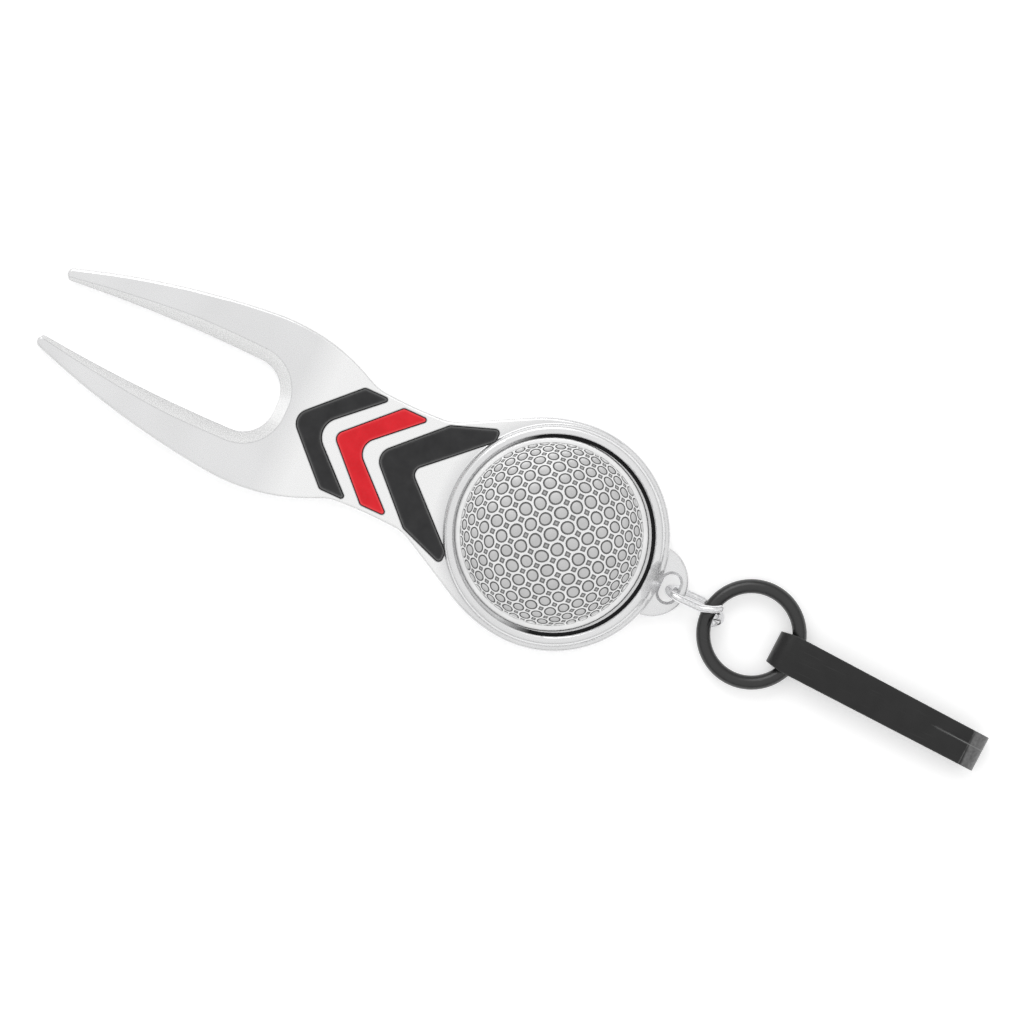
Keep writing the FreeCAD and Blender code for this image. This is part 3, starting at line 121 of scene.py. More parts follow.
def pick(piece, kind, test):
    """Selects the vertices, edges or faces that pass a test.

    The test is given the middle and the normal, or for an edge the edge itself.
    """
    bpy.ops.mesh.select_mode(type=kind)
    bpy.ops.mesh.select_all(action="DESELECT")
    mesh = bmesh.from_edit_mesh(piece.data)
    if kind == "VERT":
        for vertex in mesh.verts:
            vertex.select_set(test(vertex.co, vertex.normal))
    elif kind == "EDGE":
        for edge in mesh.edges:
            middle = (edge.verts[0].co + edge.verts[1].co) / 2
            edge.select_set(test(middle, edge))
    else:
        for face in mesh.faces:
            face.select_set(test(face.calc_center_median(), face.normal))
    mesh.select_flush_mode()
    bmesh.update_edit_mesh(piece.data)


def pick_border(piece):
    """Selects the open edges of a sheet."""
    pick(piece, "EDGE", lambda middle, edge: len(edge.link_faces) == 1)


def cut(point, normal, clear_outer=False):
    """Cuts the whole piece with a plane, and may remove what lies beyond it."""
    bpy.ops.mesh.select_all(action="SELECT")
    bpy.ops.mesh.bisect(plane_co=point, plane_no=normal, clear_outer=clear_outer,
                        threshold=CUT_CLOSE)


def draw_out(step=(0, 0, 0)):
    """Extrudes what is selected by a step."""
    bpy.ops.mesh.extrude_region_move(TRANSFORM_OT_translate={"value": step})


def stretch(factors, centre):
    """Scales what is selected about a centre."""
    bpy.ops.transform.resize(value=factors, center_override=centre)


def bend(centre, degrees, steps):
    """Spins the selected section round an axis along Y; positive turns +X towards +Z."""
    axis = (0, 1, 0) if degrees > 0 else (0, -1, 0)
    bpy.ops.mesh.spin(steps=steps, angle=math.radians(abs(degrees)), center=centre, axis=axis)


def close_up():
    """Merges doubles and turns every face outward."""
    bpy.ops.mesh.select_all(action="SELECT")
    bpy.ops.mesh.remove_doubles(threshold=MERGE_CLOSE)
    bpy.ops.mesh.normals_make_consistent(inside=False)


def settle(piece, turn=(0, 0, 0), place=(0, 0, 0)):
    """Turns and places a finished piece and applies that to its mesh."""
    deselect_all()
    bpy.context.view_layer.objects.active = piece
    piece.select_set(True)
    piece.rotation_euler = turn
    piece.location = place
    bpy.ops.object.transform_apply(location=True, rotation=True, scale=True)


def smooth(piece, degrees):
    """Shades a piece smooth, except over edges sharper than the angle."""
    deselect_all()
    bpy.context.view_layer.objects.active = piece
    piece.select_set(True)
    bpy.ops.object.shade_smooth_by_angle(angle=math.radians(degrees))


def round_off(piece, width, segments, degrees):
    """Rounds the piece's sharp edges with a bevel that is applied."""
    deselect_all()
    bpy.context.view_layer.objects.active = piece
    piece.select_set(True)
    bevel = piece.modifiers.new("edge", "BEVEL")
    bevel.width = width
    bevel.segments = segments
    bevel.limit_method = "ANGLE"
    bevel.angle_limit = math.radians(degrees)
    bpy.ops.object.modifier_apply(modifier=bevel.name)


# ----------------------------------------- places that the finishes and the painted light go by

CLIP_TURN = math.radians(-3.1)
EYE = Vector(JOINTS["clip_fold"]["pos_m"])
RIB_SIDE = 0.47 * MM

# On the tool body, in millimetres: pairs of places between which the painted sheen, highlights,
# edge shade and gap shadow fade.
NECK_BEGINS = (-37.0, -33.0)
NECK_ENDS = (-6.0, -9.0)
HEAD_FOOT = (13.9, 15.5)
BACK_EDGE = (0.6, 2.2)
FORK_ENDS = (-34.0, -37.0)
FACING_UP = (0.25, 0.45)
POCKET_WALL = (12.66, 12.74)
POCKET_MOUTH = (4.1, 4.3)
POCKET_FLOOR = 1.0
MARKER_RIM = 12.2
GAP_DIRECTION = (0.927, 0.375, 0)
GAP_ENDS = (-6.5, -2.5)

# On the clip, in millimetres: the grey band over the end bend and the painted highlight on the
# pressed line.
END_BEND_BAND = (57.9, 58.15)
RIB_LINE_BEGINS = (52.5, 56.0)
RIB_LINE_EDGE = (0.08, 0.03)


# ----------------------------------------------------------- material tools

def feed(tree, socket, value):
    """Links a socket to another one, or sets it to a number or a colour."""
    if isinstance(value, bpy.types.NodeSocket):
        tree.links.new(value, socket)
    elif socket.type == "RGBA":
        socket.default_value = (*value, 1)
    else:
        socket.default_value = value


def add_node(tree, kind, settings=None, **sockets):
    """A shader node with its settings, and its sockets set or linked by name."""
    node = tree.nodes.new(kind)
    for name, value in (settings or {}).items():
        setattr(node, name, value)
    for name, value in sockets.items():
        feed(tree, node.inputs[name.replace("_", " ")], value)
    return node


def combine(tree, operation, *values):
    """Arithmetic on numbers or sockets."""
    node = add_node(tree, "ShaderNodeMath", {"operation": operation})
    for socket, value in zip(node.inputs, values):
        feed(tree, socket, value)
    return node.outputs[0]


def product(tree, first, *others):
    """Several masks or numbers multiplied together."""
    for other in others:
        first = combine(tree, "MULTIPLY", first, other)
    return first


def fade(tree, value, near, far, low=0.0, high=1.0):
    """A number that runs from low to high while the value goes from near to far."""
    node = add_node(tree, "ShaderNodeMapRange", Value=value, From_Min=near, From_Max=far,
                    To_Min=low, To_Max=high)
    return node.outputs["Result"]


def dot(tree, first, second):
    """The dot product of two vectors, each a socket or three numbers."""
    node = add_node(tree, "ShaderNodeVectorMath", {"operation": "DOT_PRODUCT"})
    feed(tree, node.inputs[0], first)
    feed(tree, node.inputs[1], second)
    return node.outputs["Value"]


def split(tree, vector):
    """The sockets X, Y and Z of a vector."""
    return add_node(tree, "ShaderNodeSeparateXYZ", Vector=vector).outputs


def ramp(tree, factor, stops):
    """A colour ramp through the stops, each a position and a grey."""
    node = add_node(tree, "ShaderNodeValToRGB", Fac=factor)
    points = node.color_ramp.elements
    while len(points) < len(stops):
        points.new(1.0)
    for point, (position, shade) in zip(points, stops):
        point.position = position
        point.color = (shade, shade, shade, 1)
    return node.outputs["Color"]


def mix_colours(tree, factor, first, second, blend="MIX"):
    """A mix of two colours; each is a colour or a socket."""
    node = add_node(tree, "ShaderNodeMix", {"data_type": "RGBA", "blend_type": blend})
    colour_sockets = [socket for socket in node.inputs if socket.type == "RGBA"]
    feed(tree, node.inputs[0], factor)
    feed(tree, colour_sockets[0], first)
    feed(tree, colour_sockets[1], second)
    return next(socket for socket in node.outputs if socket.type == "RGBA")


def bump(tree, height, distance):
    """A bump of a height map whose full height is a distance in millimetres."""
    node = add_node(tree, "ShaderNodeBump", Strength=1.0, Distance=distance * MM, Height=height)
    return node.outputs["Normal"]


def scaled_coordinates(tree, scale, turn=0.0):
    """Object coordinates multiplied by a scale and turned about Z."""
    place = add_node(tree, "ShaderNodeTexCoord").outputs["Object"]
    mapping = add_node(tree, "ShaderNodeMapping", Vector=place, Rotation=(0, 0, turn), Scale=scale)
    return mapping.outputs["Vector"]


def facing(tree):
    """How far the surface faces up: 1 on level faces, 0 on walls, -1 underneath."""
    normal = add_node(tree, "ShaderNodeTexCoord").outputs["Normal"]
    return split(tree, normal)["Z"]


# ------------------------------------------------------- shader node groups

def make_group(name, numbers, output):
    """A shader node group with number inputs and one number output, still empty."""
    tree = bpy.data.node_groups.new(name, "ShaderNodeTree")
    for label, value in numbers.items():
        socket = tree.interface.new_socket(label, in_out="INPUT", socket_type="NodeSocketFloat")
        socket.default_value = value
    tree.interface.new_socket(output, in_out="OUTPUT", socket_type="NodeSocketFloat")
    inputs = tree.nodes.new("NodeGroupInput").outputs
    result = tree.nodes.new("NodeGroupOutput").inputs[output]
    return tree, inputs, result


def grain_group():
    """Fine grain: a value between Low and High, of the size given in millimetres."""
    tree, inputs, result = make_group(
        "fine_grain", {"Size": 1.0, "Low": 0.0, "High": 1.0, "Detail": 4.0}, "Value")
    finer = combine(tree, "DIVIDE", 1.0, inputs["Size"])
    pattern = add_node(tree, "ShaderNodeTexNoise", Vector=scaled_coordinates(tree, IN_MM),
                       Scale=finer, Detail=inputs["Detail"], Roughness=0.55)
    value = fade(tree, pattern.outputs["Fac"], 0.3, 0.7, inputs["Low"], inputs["High"])
    tree.links.new(value, result)
    return tree


def hairline_group():
    """Fine polishing scratches that run mostly along the tool, Spacing in millimetres."""
    tree, inputs, result = make_group("hairlines", {"Spacing": 0.1, "Amount": 1.0}, "Mask")
    finer = combine(tree, "DIVIDE", 1.0, inputs["Spacing"])
    drawn_out = (0.045 / MM, 1 / MM, 1 / MM)
    masks = []
    for turn, shift in ((0.12, 0.0), (-0.35, 7.3)):
        shifted = add_node(tree, "ShaderNodeVectorMath", {"operation": "ADD"})
        feed(tree, shifted.inputs[0], scaled_coordinates(tree, drawn_out, turn))
        feed(tree, shifted.inputs[1], (shift, shift, shift))
        pattern = add_node(tree, "ShaderNodeTexNoise", Vector=shifted.outputs["Vector"],
                           Scale=finer, Detail=2.0, Roughness=0.5)
        masks.append(fade(tree, pattern.outputs["Fac"], 0.66, 0.78))
    both = combine(tree, "MAXIMUM", *masks)
    tree.links.new(product(tree, both, inputs["Amount"]), result)
    return tree


def edge_group():
    """How near a point is to a sharp edge: 0 past Width in millimetres, Strength at the edge."""
    tree, inputs, result = make_group("edge_band", {"Width": 0.2, "Strength": 1.0}, "Mask")
    rounded = add_node(tree, "ShaderNodeBevel", {"samples": 6},
                       Radius=product(tree, inputs["Width"], MM))
    flat = add_node(tree, "ShaderNodeNewGeometry")
    turned = dot(tree, rounded.outputs["Normal"], flat.outputs["Normal"])
    tree.links.new(fade(tree, turned, 0.996, 0.92, 0.0, inputs["Strength"]), result)
    return tree


def slope_group():
    """1 where the surface leans away from level, 0 where it lies flat."""
    tree, inputs, result = make_group("leaning_faces", {"Level": 0.97, "Steep": 0.85}, "Mask")
    tree.links.new(fade(tree, facing(tree), inputs["Level"], inputs["Steep"]), result)
    return tree


GRAIN = grain_group()
HAIRLINES = hairline_group()
# The edge band carries painted shade on the casting's edges, a painted highlight on the enamel's
# lip, and greyer patches on the black coat's edges.
EDGE_BAND = edge_group()
LEANING_FACES = slope_group()


def place_group(tree, group, **values):
    """A group in a material, with its inputs set by name."""
    node = tree.nodes.new("ShaderNodeGroup")
    node.node_tree = group
    for name, value in values.items():
        node.inputs[name].default_value = value
    return node.outputs[0]


def grain(tree, size, detail, low=0.0, high=1.0):
    """The grain group in a material, its size in millimetres."""
    return place_group(tree, GRAIN, Size=size, Low=low, High=high, Detail=detail)


# ---------------------------------------------------------------- materials

def new_material(name):
    """A material with one Principled shader, and its node tree."""
    material = bpy.data.materials.new(name)
    material.use_nodes = True
    tree = material.node_tree
    return material, tree, tree.nodes["Principled BSDF"]


def neck_painted_sheen(tree, along, reach, height):
    """Painted sheen: 1 on the polished neck among the chevrons, fading out on fork, head and back.
    """
    return product(tree, fade(tree, along, *NECK_BEGINS), fade(tree, reach, *HEAD_FOOT),
                   fade(tree, along, *NECK_ENDS), fade(tree, height, *BACK_EDGE))


def fork_painted_light(tree, along):
    """Where painted highlights and shade go: 1 on the prongs and round their slot, 0 on upright
    walls and from the chevrons on.
    """
    return product(tree, fade(tree, along, *FORK_ENDS), fade(tree, facing(tree), *FACING_UP))


def gap_painted_shadow(tree, place, reach, height):
    """Painted shadow: 1 down in the gap round the marker, on the side where it is open."""
    inside = fade(tree, reach, *POCKET_WALL, 1.0, 0.0)
    below = fade(tree, height, *POCKET_MOUTH, 1.0, 0.0)
    open_side = fade(tree, dot(tree, place, GAP_DIRECTION), *GAP_ENDS)
    above = combine(tree, "GREATER_THAN", height, POCKET_FLOOR)
    outside = combine(tree, "GREATER_THAN", reach, MARKER_RIM)
    return product(tree, inside, below, open_side, above, outside)


def plated_casting():
    """Bright nickel over a polished zinc casting: soft waves, fine grain, hairlines, a painted
    sheen on the neck, painted highlights on the fork's bevels, painted shade along edges and a
    painted shadow in the marker's gap.
    """
    material, tree, shader = new_material("plated_casting")
    waves = grain(tree, 9.0, 1.5)
    fine = grain(tree, 0.35, 5.0)
    lines = place_group(tree, HAIRLINES, Spacing=0.16, Amount=1.0)
    edges = place_group(tree, EDGE_BAND, Width=0.25, Strength=1.0)
    leaning = place_group(tree, LEANING_FACES, Level=0.97, Steep=0.85)
    place = scaled_coordinates(tree, IN_MM)
    parts = split(tree, place)
    flat = add_node(tree, "ShaderNodeCombineXYZ", X=parts["X"], Y=parts["Y"]).outputs["Vector"]
    reach = combine(tree, "SQRT", dot(tree, flat, flat))
    neck_sheen = neck_painted_sheen(tree, parts["X"], reach, parts["Z"])
    fork_light = fork_painted_light(tree, parts["X"])
    gap_shadow = gap_painted_shadow(tree, place, reach, parts["Z"])
    # Painted shade: thin dark lines along the edges of the neck and the fork.
    edge_painted_shade = product(tree, edges, combine(tree, "MAXIMUM", neck_sheen, fork_light), 0.6)

    tone = mix_colours(tree, waves, (0.72, 0.72, 0.725), (0.77, 0.77, 0.775))
    # Painted sheen: the neck is painted lighter, as a reflection of its polish.
    tone = mix_colours(tree, neck_sheen, tone, (0.88, 0.88, 0.88))
    # Painted highlight: the fork's leaning bevels are painted lighter.
    tone = mix_colours(tree, product(tree, leaning, fork_light), tone, (0.87, 0.87, 0.87))
    tone = mix_colours(tree, edge_painted_shade, tone, (0.30, 0.30, 0.31))
    # Painted shadow: the pocket wall on the open side of the marker's gap is painted near black.
    tone = mix_colours(tree, gap_shadow, tone, (0.015, 0.015, 0.016))
    tree.links.new(tone, shader.inputs["Base Color"])
    shader.inputs["Metallic"].default_value = 0.85

    rough = combine(tree, "MULTIPLY_ADD", fine, 0.04, 0.25)
    rough = combine(tree, "SUBTRACT", rough, product(tree, edges, 0.06))
    rough = combine(tree, "ADD", rough, product(tree, lines, 0.10))
    tree.links.new(rough, shader.inputs["Roughness"])

    height = combine(tree, "ADD", waves, product(tree, fine, 0.003))
    height = combine(tree, "SUBTRACT", height, product(tree, lines, 0.004))
    tree.links.new(bump(tree, height, 0.10), shader.inputs["Normal"])
    return material


def enamel(name, deep, light, lip, painted_foot_shade):
    """Glossy enamel poured in a recess: slightly cloudy, with a painted highlight on its lip and
    painted shade on its leaning foot.
    """
    material, tree, shader = new_material(name)
    cloud = grain(tree, 1.8, 3.0)
    skin = grain(tree, 0.7, 2.0)
    edges = place_group(tree, EDGE_BAND, Width=0.65, Strength=1.0)
    leaning = place_group(tree, LEANING_FACES, Level=0.97, Steep=0.85)
    tone = mix_colours(tree, cloud, deep, light)
    # Painted highlight: the lip near the edge is painted lighter.
    tone = mix_colours(tree, edges, tone, lip)
    # Painted shade: the leaning foot is painted almost black.
    tone = mix_colours(tree, leaning, tone, painted_foot_shade)
    tree.links.new(tone, shader.inputs["Base Color"])
    rough = combine(tree, "MULTIPLY_ADD", cloud, 0.08, 0.16)
    rough = combine(tree, "ADD", rough, product(tree, leaning, 0.6))
    tree.links.new(rough, shader.inputs["Roughness"])
    shader.inputs["Specular IOR Level"].default_value = 0.25
    tree.links.new(bump(tree, skin, 0.02), shader.inputs["Normal"])
    return material


def struck_metal():
    """The marker's struck face: bright ridges, with painted shade that greys the hollows and
    darkens the walls.
    """
    material, tree, shader = new_material("struck_metal")
    depth = add_node(tree, "ShaderNodeAttribute", {"attribute_name": "painted_depth_shade"}).outputs["Fac"]
    cloud = grain(tree, 2.5, 4.0)
    fine = grain(tree, 0.12, 3.0)
    # Painted shade: grey in the hollows and dark on the dimple walls, with the ridges left bright.
    tone = ramp(tree, depth, [(0.0, 0.88), (0.12, 0.86), (0.3, 0.60), (0.5, 0.60),
                              (0.75, 0.24), (1.0, 0.16)])
    tone = mix_colours(tree, product(tree, cloud, 0.4), tone, (0.72, 0.72, 0.72), "MULTIPLY")
    tree.links.new(tone, shader.inputs["Base Color"])
    shader.inputs["Metallic"].default_value = 0.9
    rough = combine(tree, "MULTIPLY_ADD", fine, 0.12, 0.30)
    rough = combine(tree, "ADD", rough, product(tree, depth, 0.15))
    tree.links.new(rough, shader.inputs["Roughness"])
    tree.links.new(bump(tree, fine, 0.006), shader.inputs["Normal"])
    return material


def bright_wire():
    """Drawn and plated wire, mirror bright with faint marks of the die."""
    material, tree, shader = new_material("bright_wire")
    fine = grain(tree, 0.25, 4.0)
    streaks = place_group(tree, HAIRLINES, Spacing=0.3, Amount=0.8)
    tone = mix_colours(tree, fine, (0.66, 0.66, 0.67), (0.86, 0.86, 0.87))
    tone = mix_colours(tree, streaks, tone, (0.22, 0.22, 0.23))
    tree.links.new(tone, shader.inputs["Base Color"])
    shader.inputs["Metallic"].default_value = 1.0
    rough = combine(tree, "MULTIPLY_ADD", fine, 0.10, 0.08)
    tree.links.new(rough, shader.inputs["Roughness"])
    tree.links.new(bump(tree, fine, 0.005), shader.inputs["Normal"])
    return material


def grey_clip_end(tree, tone):
    """Greys the coat in a patchy band over the clip's end bend, and paints a highlight along the
    top of its pressed line.
    """
    place = scaled_coordinates(tree, IN_MM)
    along = split(tree, place)["X"]
    # A patchy grey band over the end bend.
    grey_band = product(tree, fade(tree, along, *END_BEND_BAND), grain(tree, 0.5, 4.0, low=0.5))
    tone = mix_colours(tree, grey_band, tone, (0.17, 0.17, 0.17))
    line_side = (EYE.y * math.cos(CLIP_TURN) - EYE.x * math.sin(CLIP_TURN) + RIB_SIDE) / MM
    side = dot(tree, place, (-math.sin(CLIP_TURN), math.cos(CLIP_TURN), 0))
    away = combine(tree, "ABSOLUTE", combine(tree, "SUBTRACT", side, line_side))
    # Painted highlight: a lighter line along the top of the pressed line.
    line = product(tree, fade(tree, away, *RIB_LINE_EDGE, 0.0, 0.8),
                   fade(tree, along, *RIB_LINE_BEGINS))
    return mix_colours(tree, line, tone, (0.22, 0.22, 0.22))


def black_coat(name, rough_low, rough_high, level, shade, grey_end=False):
    """Black coat on steel: fine texture, cloudy gloss, and greyer, patchy edges."""
    material, tree, shader = new_material(name)
    cloud = grain(tree, 3.0, 4.0)
    fine = grain(tree, 0.14, 4.0)
    edges = place_group(tree, EDGE_BAND, Width=0.20, Strength=0.9)
    patches = grain(tree, 0.9, 5.0, low=0.1)
    lines = place_group(tree, HAIRLINES, Spacing=0.22, Amount=0.6)
    tone = mix_colours(tree, cloud, (shade, shade, shade), (shade * 1.5,) * 3)
    tone = mix_colours(tree, product(tree, edges, patches), tone, (0.15, 0.15, 0.15))
    tone = mix_colours(tree, product(tree, lines, 0.35), tone, (0.06, 0.06, 0.06))
    if grey_end:
        tone = grey_clip_end(tree, tone)
    tree.links.new(tone, shader.inputs["Base Color"])
    rough = combine(tree, "MULTIPLY_ADD", fine, rough_high - rough_low, rough_low)
    tree.links.new(rough, shader.inputs["Roughness"])
    shader.inputs["Specular IOR Level"].default_value = level
    tree.links.new(bump(tree, fine, 0.01), shader.inputs["Normal"])
    return material


def magnet_plate():
    """The nickel plated magnet under the marker, dulled by handling."""
    material, tree, shader = new_material("magnet_plate")
    cloud = grain(tree, 1.5, 4.0)
    tone = mix_colours(tree, cloud, (0.48, 0.48, 0.50), (0.62, 0.62, 0.63))
    tree.links.new(tone, shader.inputs["Base Color"])
    shader.inputs["Metallic"].default_value = 1.0
    tree.links.new(combine(tree, "MULTIPLY_ADD", cloud, 0.15, 0.25), shader.inputs["Roughness"])
    return material


def finish_with(piece, material):
    """Puts one material on a piece or a CAD node."""
    if not piece.data.materials:
        piece.data.materials.append(material)
    for slot in piece.material_slots:
        slot.material = material


# -------------------------------------------------------------- ball marker

MARKER_LOW, MARKER_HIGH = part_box("ball_marker")
MARKER_RADIUS = (MARKER_HIGH.x - MARKER_LOW.x) / 2
MARKER_EDGE = 1.5 * MM
MARKER_DOME = 0.8 * MM
MARKER_SIDES = 72
FIELD_RADIUS = 11.38 * MM
FIELD_SPREAD = 1.004
FIELD_FOOT = FIELD_SPREAD * FIELD_RADIUS
BALL_RADIUS = 11.8 * MM
BALL_SPREAD = BALL_RADIUS * math.radians(84)
DIMPLE_PITCH = BALL_RADIUS * math.radians(10.25)
DIMPLE_RADIUS = 0.435 * DIMPLE_PITCH
DIMPLE_WALL = 0.035 * DIMPLE_PITCH
DIMPLE_DEPTH = 0.17 * MM
DIMPLE_SIDES = 16
PIT_REACH = 0.235 * DIMPLE_PITCH
PIT_FLOOR = 0.75 * PIT_REACH
WITHIN_PIT = 0.76 * PIT_REACH
PIT_DEPTH = 0.12 * MM
ROWS = 17
STRIKE_SCALE = 330
STRIKE_WOBBLE = 0.20 * MM
STRIKE_SEED = 5

# How much painted shade the struck pattern gets, from its ridges to the foot of a dimple's wall.
RIDGE = 0.0
DIMPLE_FLOOR = 0.4
PIT_BOTTOM = 0.5
PIT_SIDE = 0.85
WALL_FOOT = 1.0


def model_dimple_cell():
    """One square of the ball pattern: a round dimple and a quarter pit at each corner."""
    deselect_all()
    bpy.ops.mesh.primitive_circle_add(vertices=DIMPLE_SIDES, radius=DIMPLE_RADIUS,
                                      fill_type="NGON")
    cell = begin("ball_marker_face")
    bpy.ops.mesh.select_all(action="SELECT")
    for inset, rise in ((DIMPLE_WALL, -0.85), (DIMPLE_WALL, -0.15), (2 * DIMPLE_WALL, 0.2)):
        bpy.ops.mesh.inset(thickness=inset)
        bpy.ops.transform.translate(value=(0, 0, rise * DIMPLE_DEPTH))
    bpy.ops.mesh.poke()
    pick_border(cell)
    draw_out()
    stretch((2, 2, 1), (0, 0, 0))
    half = DIMPLE_PITCH / 2
    for x, y in ((1, 0), (-1, 0), (0, 1), (0, -1)):
        cut((x * half, y * half, 0), (x, y, 0), clear_outer=True)
    for x in (-1, 1):
        for y in (-1, 1):
            for reach in (PIT_REACH, PIT_FLOOR):
                cut((x * (half - reach), y * half, 0), (x, y, 0))
    pick(cell, "VERT", lambda at, normal: DIMPLE_PITCH - abs(at.x) - abs(at.y) < WITHIN_PIT)
    bpy.ops.transform.translate(value=(0, 0, -PIT_DEPTH))
    end()
    # The painted shade of each point is kept with the mesh.
    painted_depth_shade = cell.data.attributes.new("painted_depth_shade", "FLOAT", "POINT")
    for vertex, value in zip(cell.data.vertices, painted_depth_shade.data):
        value.value = hollow_painted_shade(vertex.co)
    return cell


def hollow_painted_shade(at):
    """How much painted shade a point of a cell gets, by how near it is to a pit or the dimple's
    middle.
    """
    away = math.hypot(at.x, at.y) / DIMPLE_RADIUS
    corner = (DIMPLE_PITCH - abs(at.x) - abs(at.y)) / PIT_REACH
    if corner < 0.1:
        return PIT_BOTTOM
    if corner < 0.8:
        return PIT_SIDE
    if away > 0.97:
        return RIDGE
    return WALL_FOOT if away > 0.8 else DIMPLE_FLOOR


def lay_on_dome(piece):
    """Wraps the flat pattern as it would look on a ball, over the marker's low dome."""
    dome = (FIELD_RADIUS**2 + MARKER_DOME**2) / (2 * MARKER_DOME)
    noise.seed_set(STRIKE_SEED)
    for vertex in piece.data.vertices:
        wobble = noise.noise_vector(vertex.co * STRIKE_SCALE) * STRIKE_WOBBLE
        vertex.co += Vector((wobble.x, wobble.y, 0))
        reach = math.hypot(vertex.co.x, vertex.co.y)
        if reach > 0:
            away = BALL_RADIUS * math.sin(reach / BALL_RADIUS)
            vertex.co.x *= away / reach
            vertex.co.y *= away / reach
        fall = dome - math.sqrt(dome**2 - vertex.co.x**2 - vertex.co.y**2)
        vertex.co.z += MARKER_EDGE + MARKER_DOME - fall


def repeat_cell(marker):
    """Repeats the cell in rows both ways and keeps a round field of them."""
    for direction in ((1, 0, 0), (0, 1, 0)):
        rows = marker.modifiers.new("rows", "ARRAY")
        rows.count = ROWS
        rows.use_relative_offset = False
        rows.use_constant_offset = True
        rows.constant_offset_displace = tuple(DIMPLE_PITCH * part for part in direction)
        rows.use_merge_vertices = True
        rows.merge_threshold = MERGE_CLOSE
        bpy.ops.object.modifier_apply(modifier=rows.name)
    back = -(ROWS - 1) / 2 * DIMPLE_PITCH
    settle(marker, place=(back, back, 0))
    bpy.ops.object.mode_set(mode="EDIT")
    pick(marker, "FACE", lambda at, normal: math.hypot(at.x, at.y) > BALL_SPREAD)
    bpy.ops.mesh.delete(type="FACE")
    end()


def trim_and_edge(marker):
    """Trims the struck field round, then draws its border out to the rim and the back."""
    for side in range(MARKER_SIDES):
        turn = math.tau * side / MARKER_SIDES
        outward = (math.cos(turn), math.sin(turn), 0)
        cut(tuple(FIELD_RADIUS * part for part in outward), outward, clear_outer=True)
    bpy.ops.mesh.select_all(action="SELECT")
    bpy.ops.mesh.remove_doubles(threshold=TRIM_CLOSE)
    pick_border(marker)
    draw_out()
    stretch((FIELD_SPREAD, FIELD_SPREAD, 0), (0, 0, MARKER_EDGE))
    profile = [(FIELD_FOOT + 0.05 * MM, MARKER_EDGE + 0.04 * MM),
               (MARKER_RADIUS - 0.30 * MM, MARKER_EDGE + 0.04 * MM),
               (MARKER_RADIUS - 0.12 * MM, MARKER_EDGE - 0.01 * MM),
               (MARKER_RADIUS - 0.03 * MM, MARKER_EDGE - 0.10 * MM),
               (MARKER_RADIUS, MARKER_EDGE - 0.25 * MM),
               (MARKER_RADIUS, 0.25 * MM),
               (MARKER_RADIUS - 0.07 * MM, 0.07 * MM),
               (MARKER_RADIUS - 0.25 * MM, 0)]
    radius, height = FIELD_FOOT, MARKER_EDGE
    for new_radius, new_height in profile:
        draw_out((0, 0, new_height - height))
        stretch((new_radius / radius, new_radius / radius, 1), (0, 0, new_height))
        radius, height = new_radius, new_height
    bpy.ops.mesh.edge_face_add()


def model_marker():
    """The loose marker: the struck ball face, a smooth rim, an edge and a flat back."""
    marker = model_dimple_cell()
    repeat_cell(marker)
    lay_on_dome(marker)
    settle(marker, turn=(0, 0, math.radians(45)))
    bpy.ops.object.mode_set(mode="EDIT")
    trim_and_edge(marker)
    close_up()
    end()
    # The rim round the struck field gets no painted shade.
    for vertex, value in zip(marker.data.vertices, marker.data.attributes["painted_depth_shade"].data):
        if math.hypot(vertex.co.x, vertex.co.y) > 0.995 * FIELD_RADIUS:
            value.value = RIDGE
    middle = (MARKER_LOW + MARKER_HIGH) / 2
    settle(marker, place=(middle.x, middle.y, MARKER_LOW.z))
    smooth(marker, 35)
    finish_with(marker, struck_metal())
    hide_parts("ball_marker")
    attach(marker, "marker")


# ----------------------------------------------------------- wire and strip

def sweep(piece, moves, width=None):
    """Carries the selected section along lines and arcs in the XZ plane.

    A line has its reach in X and in Z, an arc its centre and its degrees. Both then
    have a number of steps, and how far the section drifts to the side. The width,
    if given, is a function of X that sets how wide the section is after each step.
    """
    centre = section_centre(piece)
    wide = width(centre.x) if width else 1
    for kind, where, amount, steps, aside in moves:
        for _ in range(steps):
            if kind == "line":
                draw_out((where / steps, 0, amount / steps))
            else:
                bend((where[0], 0, where[1]), amount / steps, 1)
            if aside:
                bpy.ops.transform.translate(value=(0, aside / steps, 0))
            centre = section_centre(piece)
            if width:
                stretch((1, width(centre.x) / wide, 1), centre)
                wide = width(centre.x)


def section_centre(piece):
    """The middle of the section that is selected."""
    mesh = bmesh.from_edit_mesh(piece.data)
    chosen = [vertex.co for vertex in mesh.verts if vertex.select]
    return sum(chosen, Vector()) / len(chosen)


# ---------------------------------------------------------------- jump ring

JUMP_WIRE = 0.52 * MM
JUMP_END = 1.8 * MM
JUMP_STRAIGHT = 3.85 * MM
JUMP_LEAN = math.radians(17)
JUMP_PLACE = (19.625 * MM, -0.18 * MM, 2.315 * MM)
JUMP_ROUND = 0.06 * MM
UPPER_END_ANGLE = 48.0
LOWER_END_ANGLE = 62.0
UPPER_ASIDE = 0.95 * MM
UPPER_ARC_ASIDE = 0.55 * MM
LOWER_ARC_ASIDE = 0.95 * MM
LOWER_LINE_ASIDE = 0.25 * MM


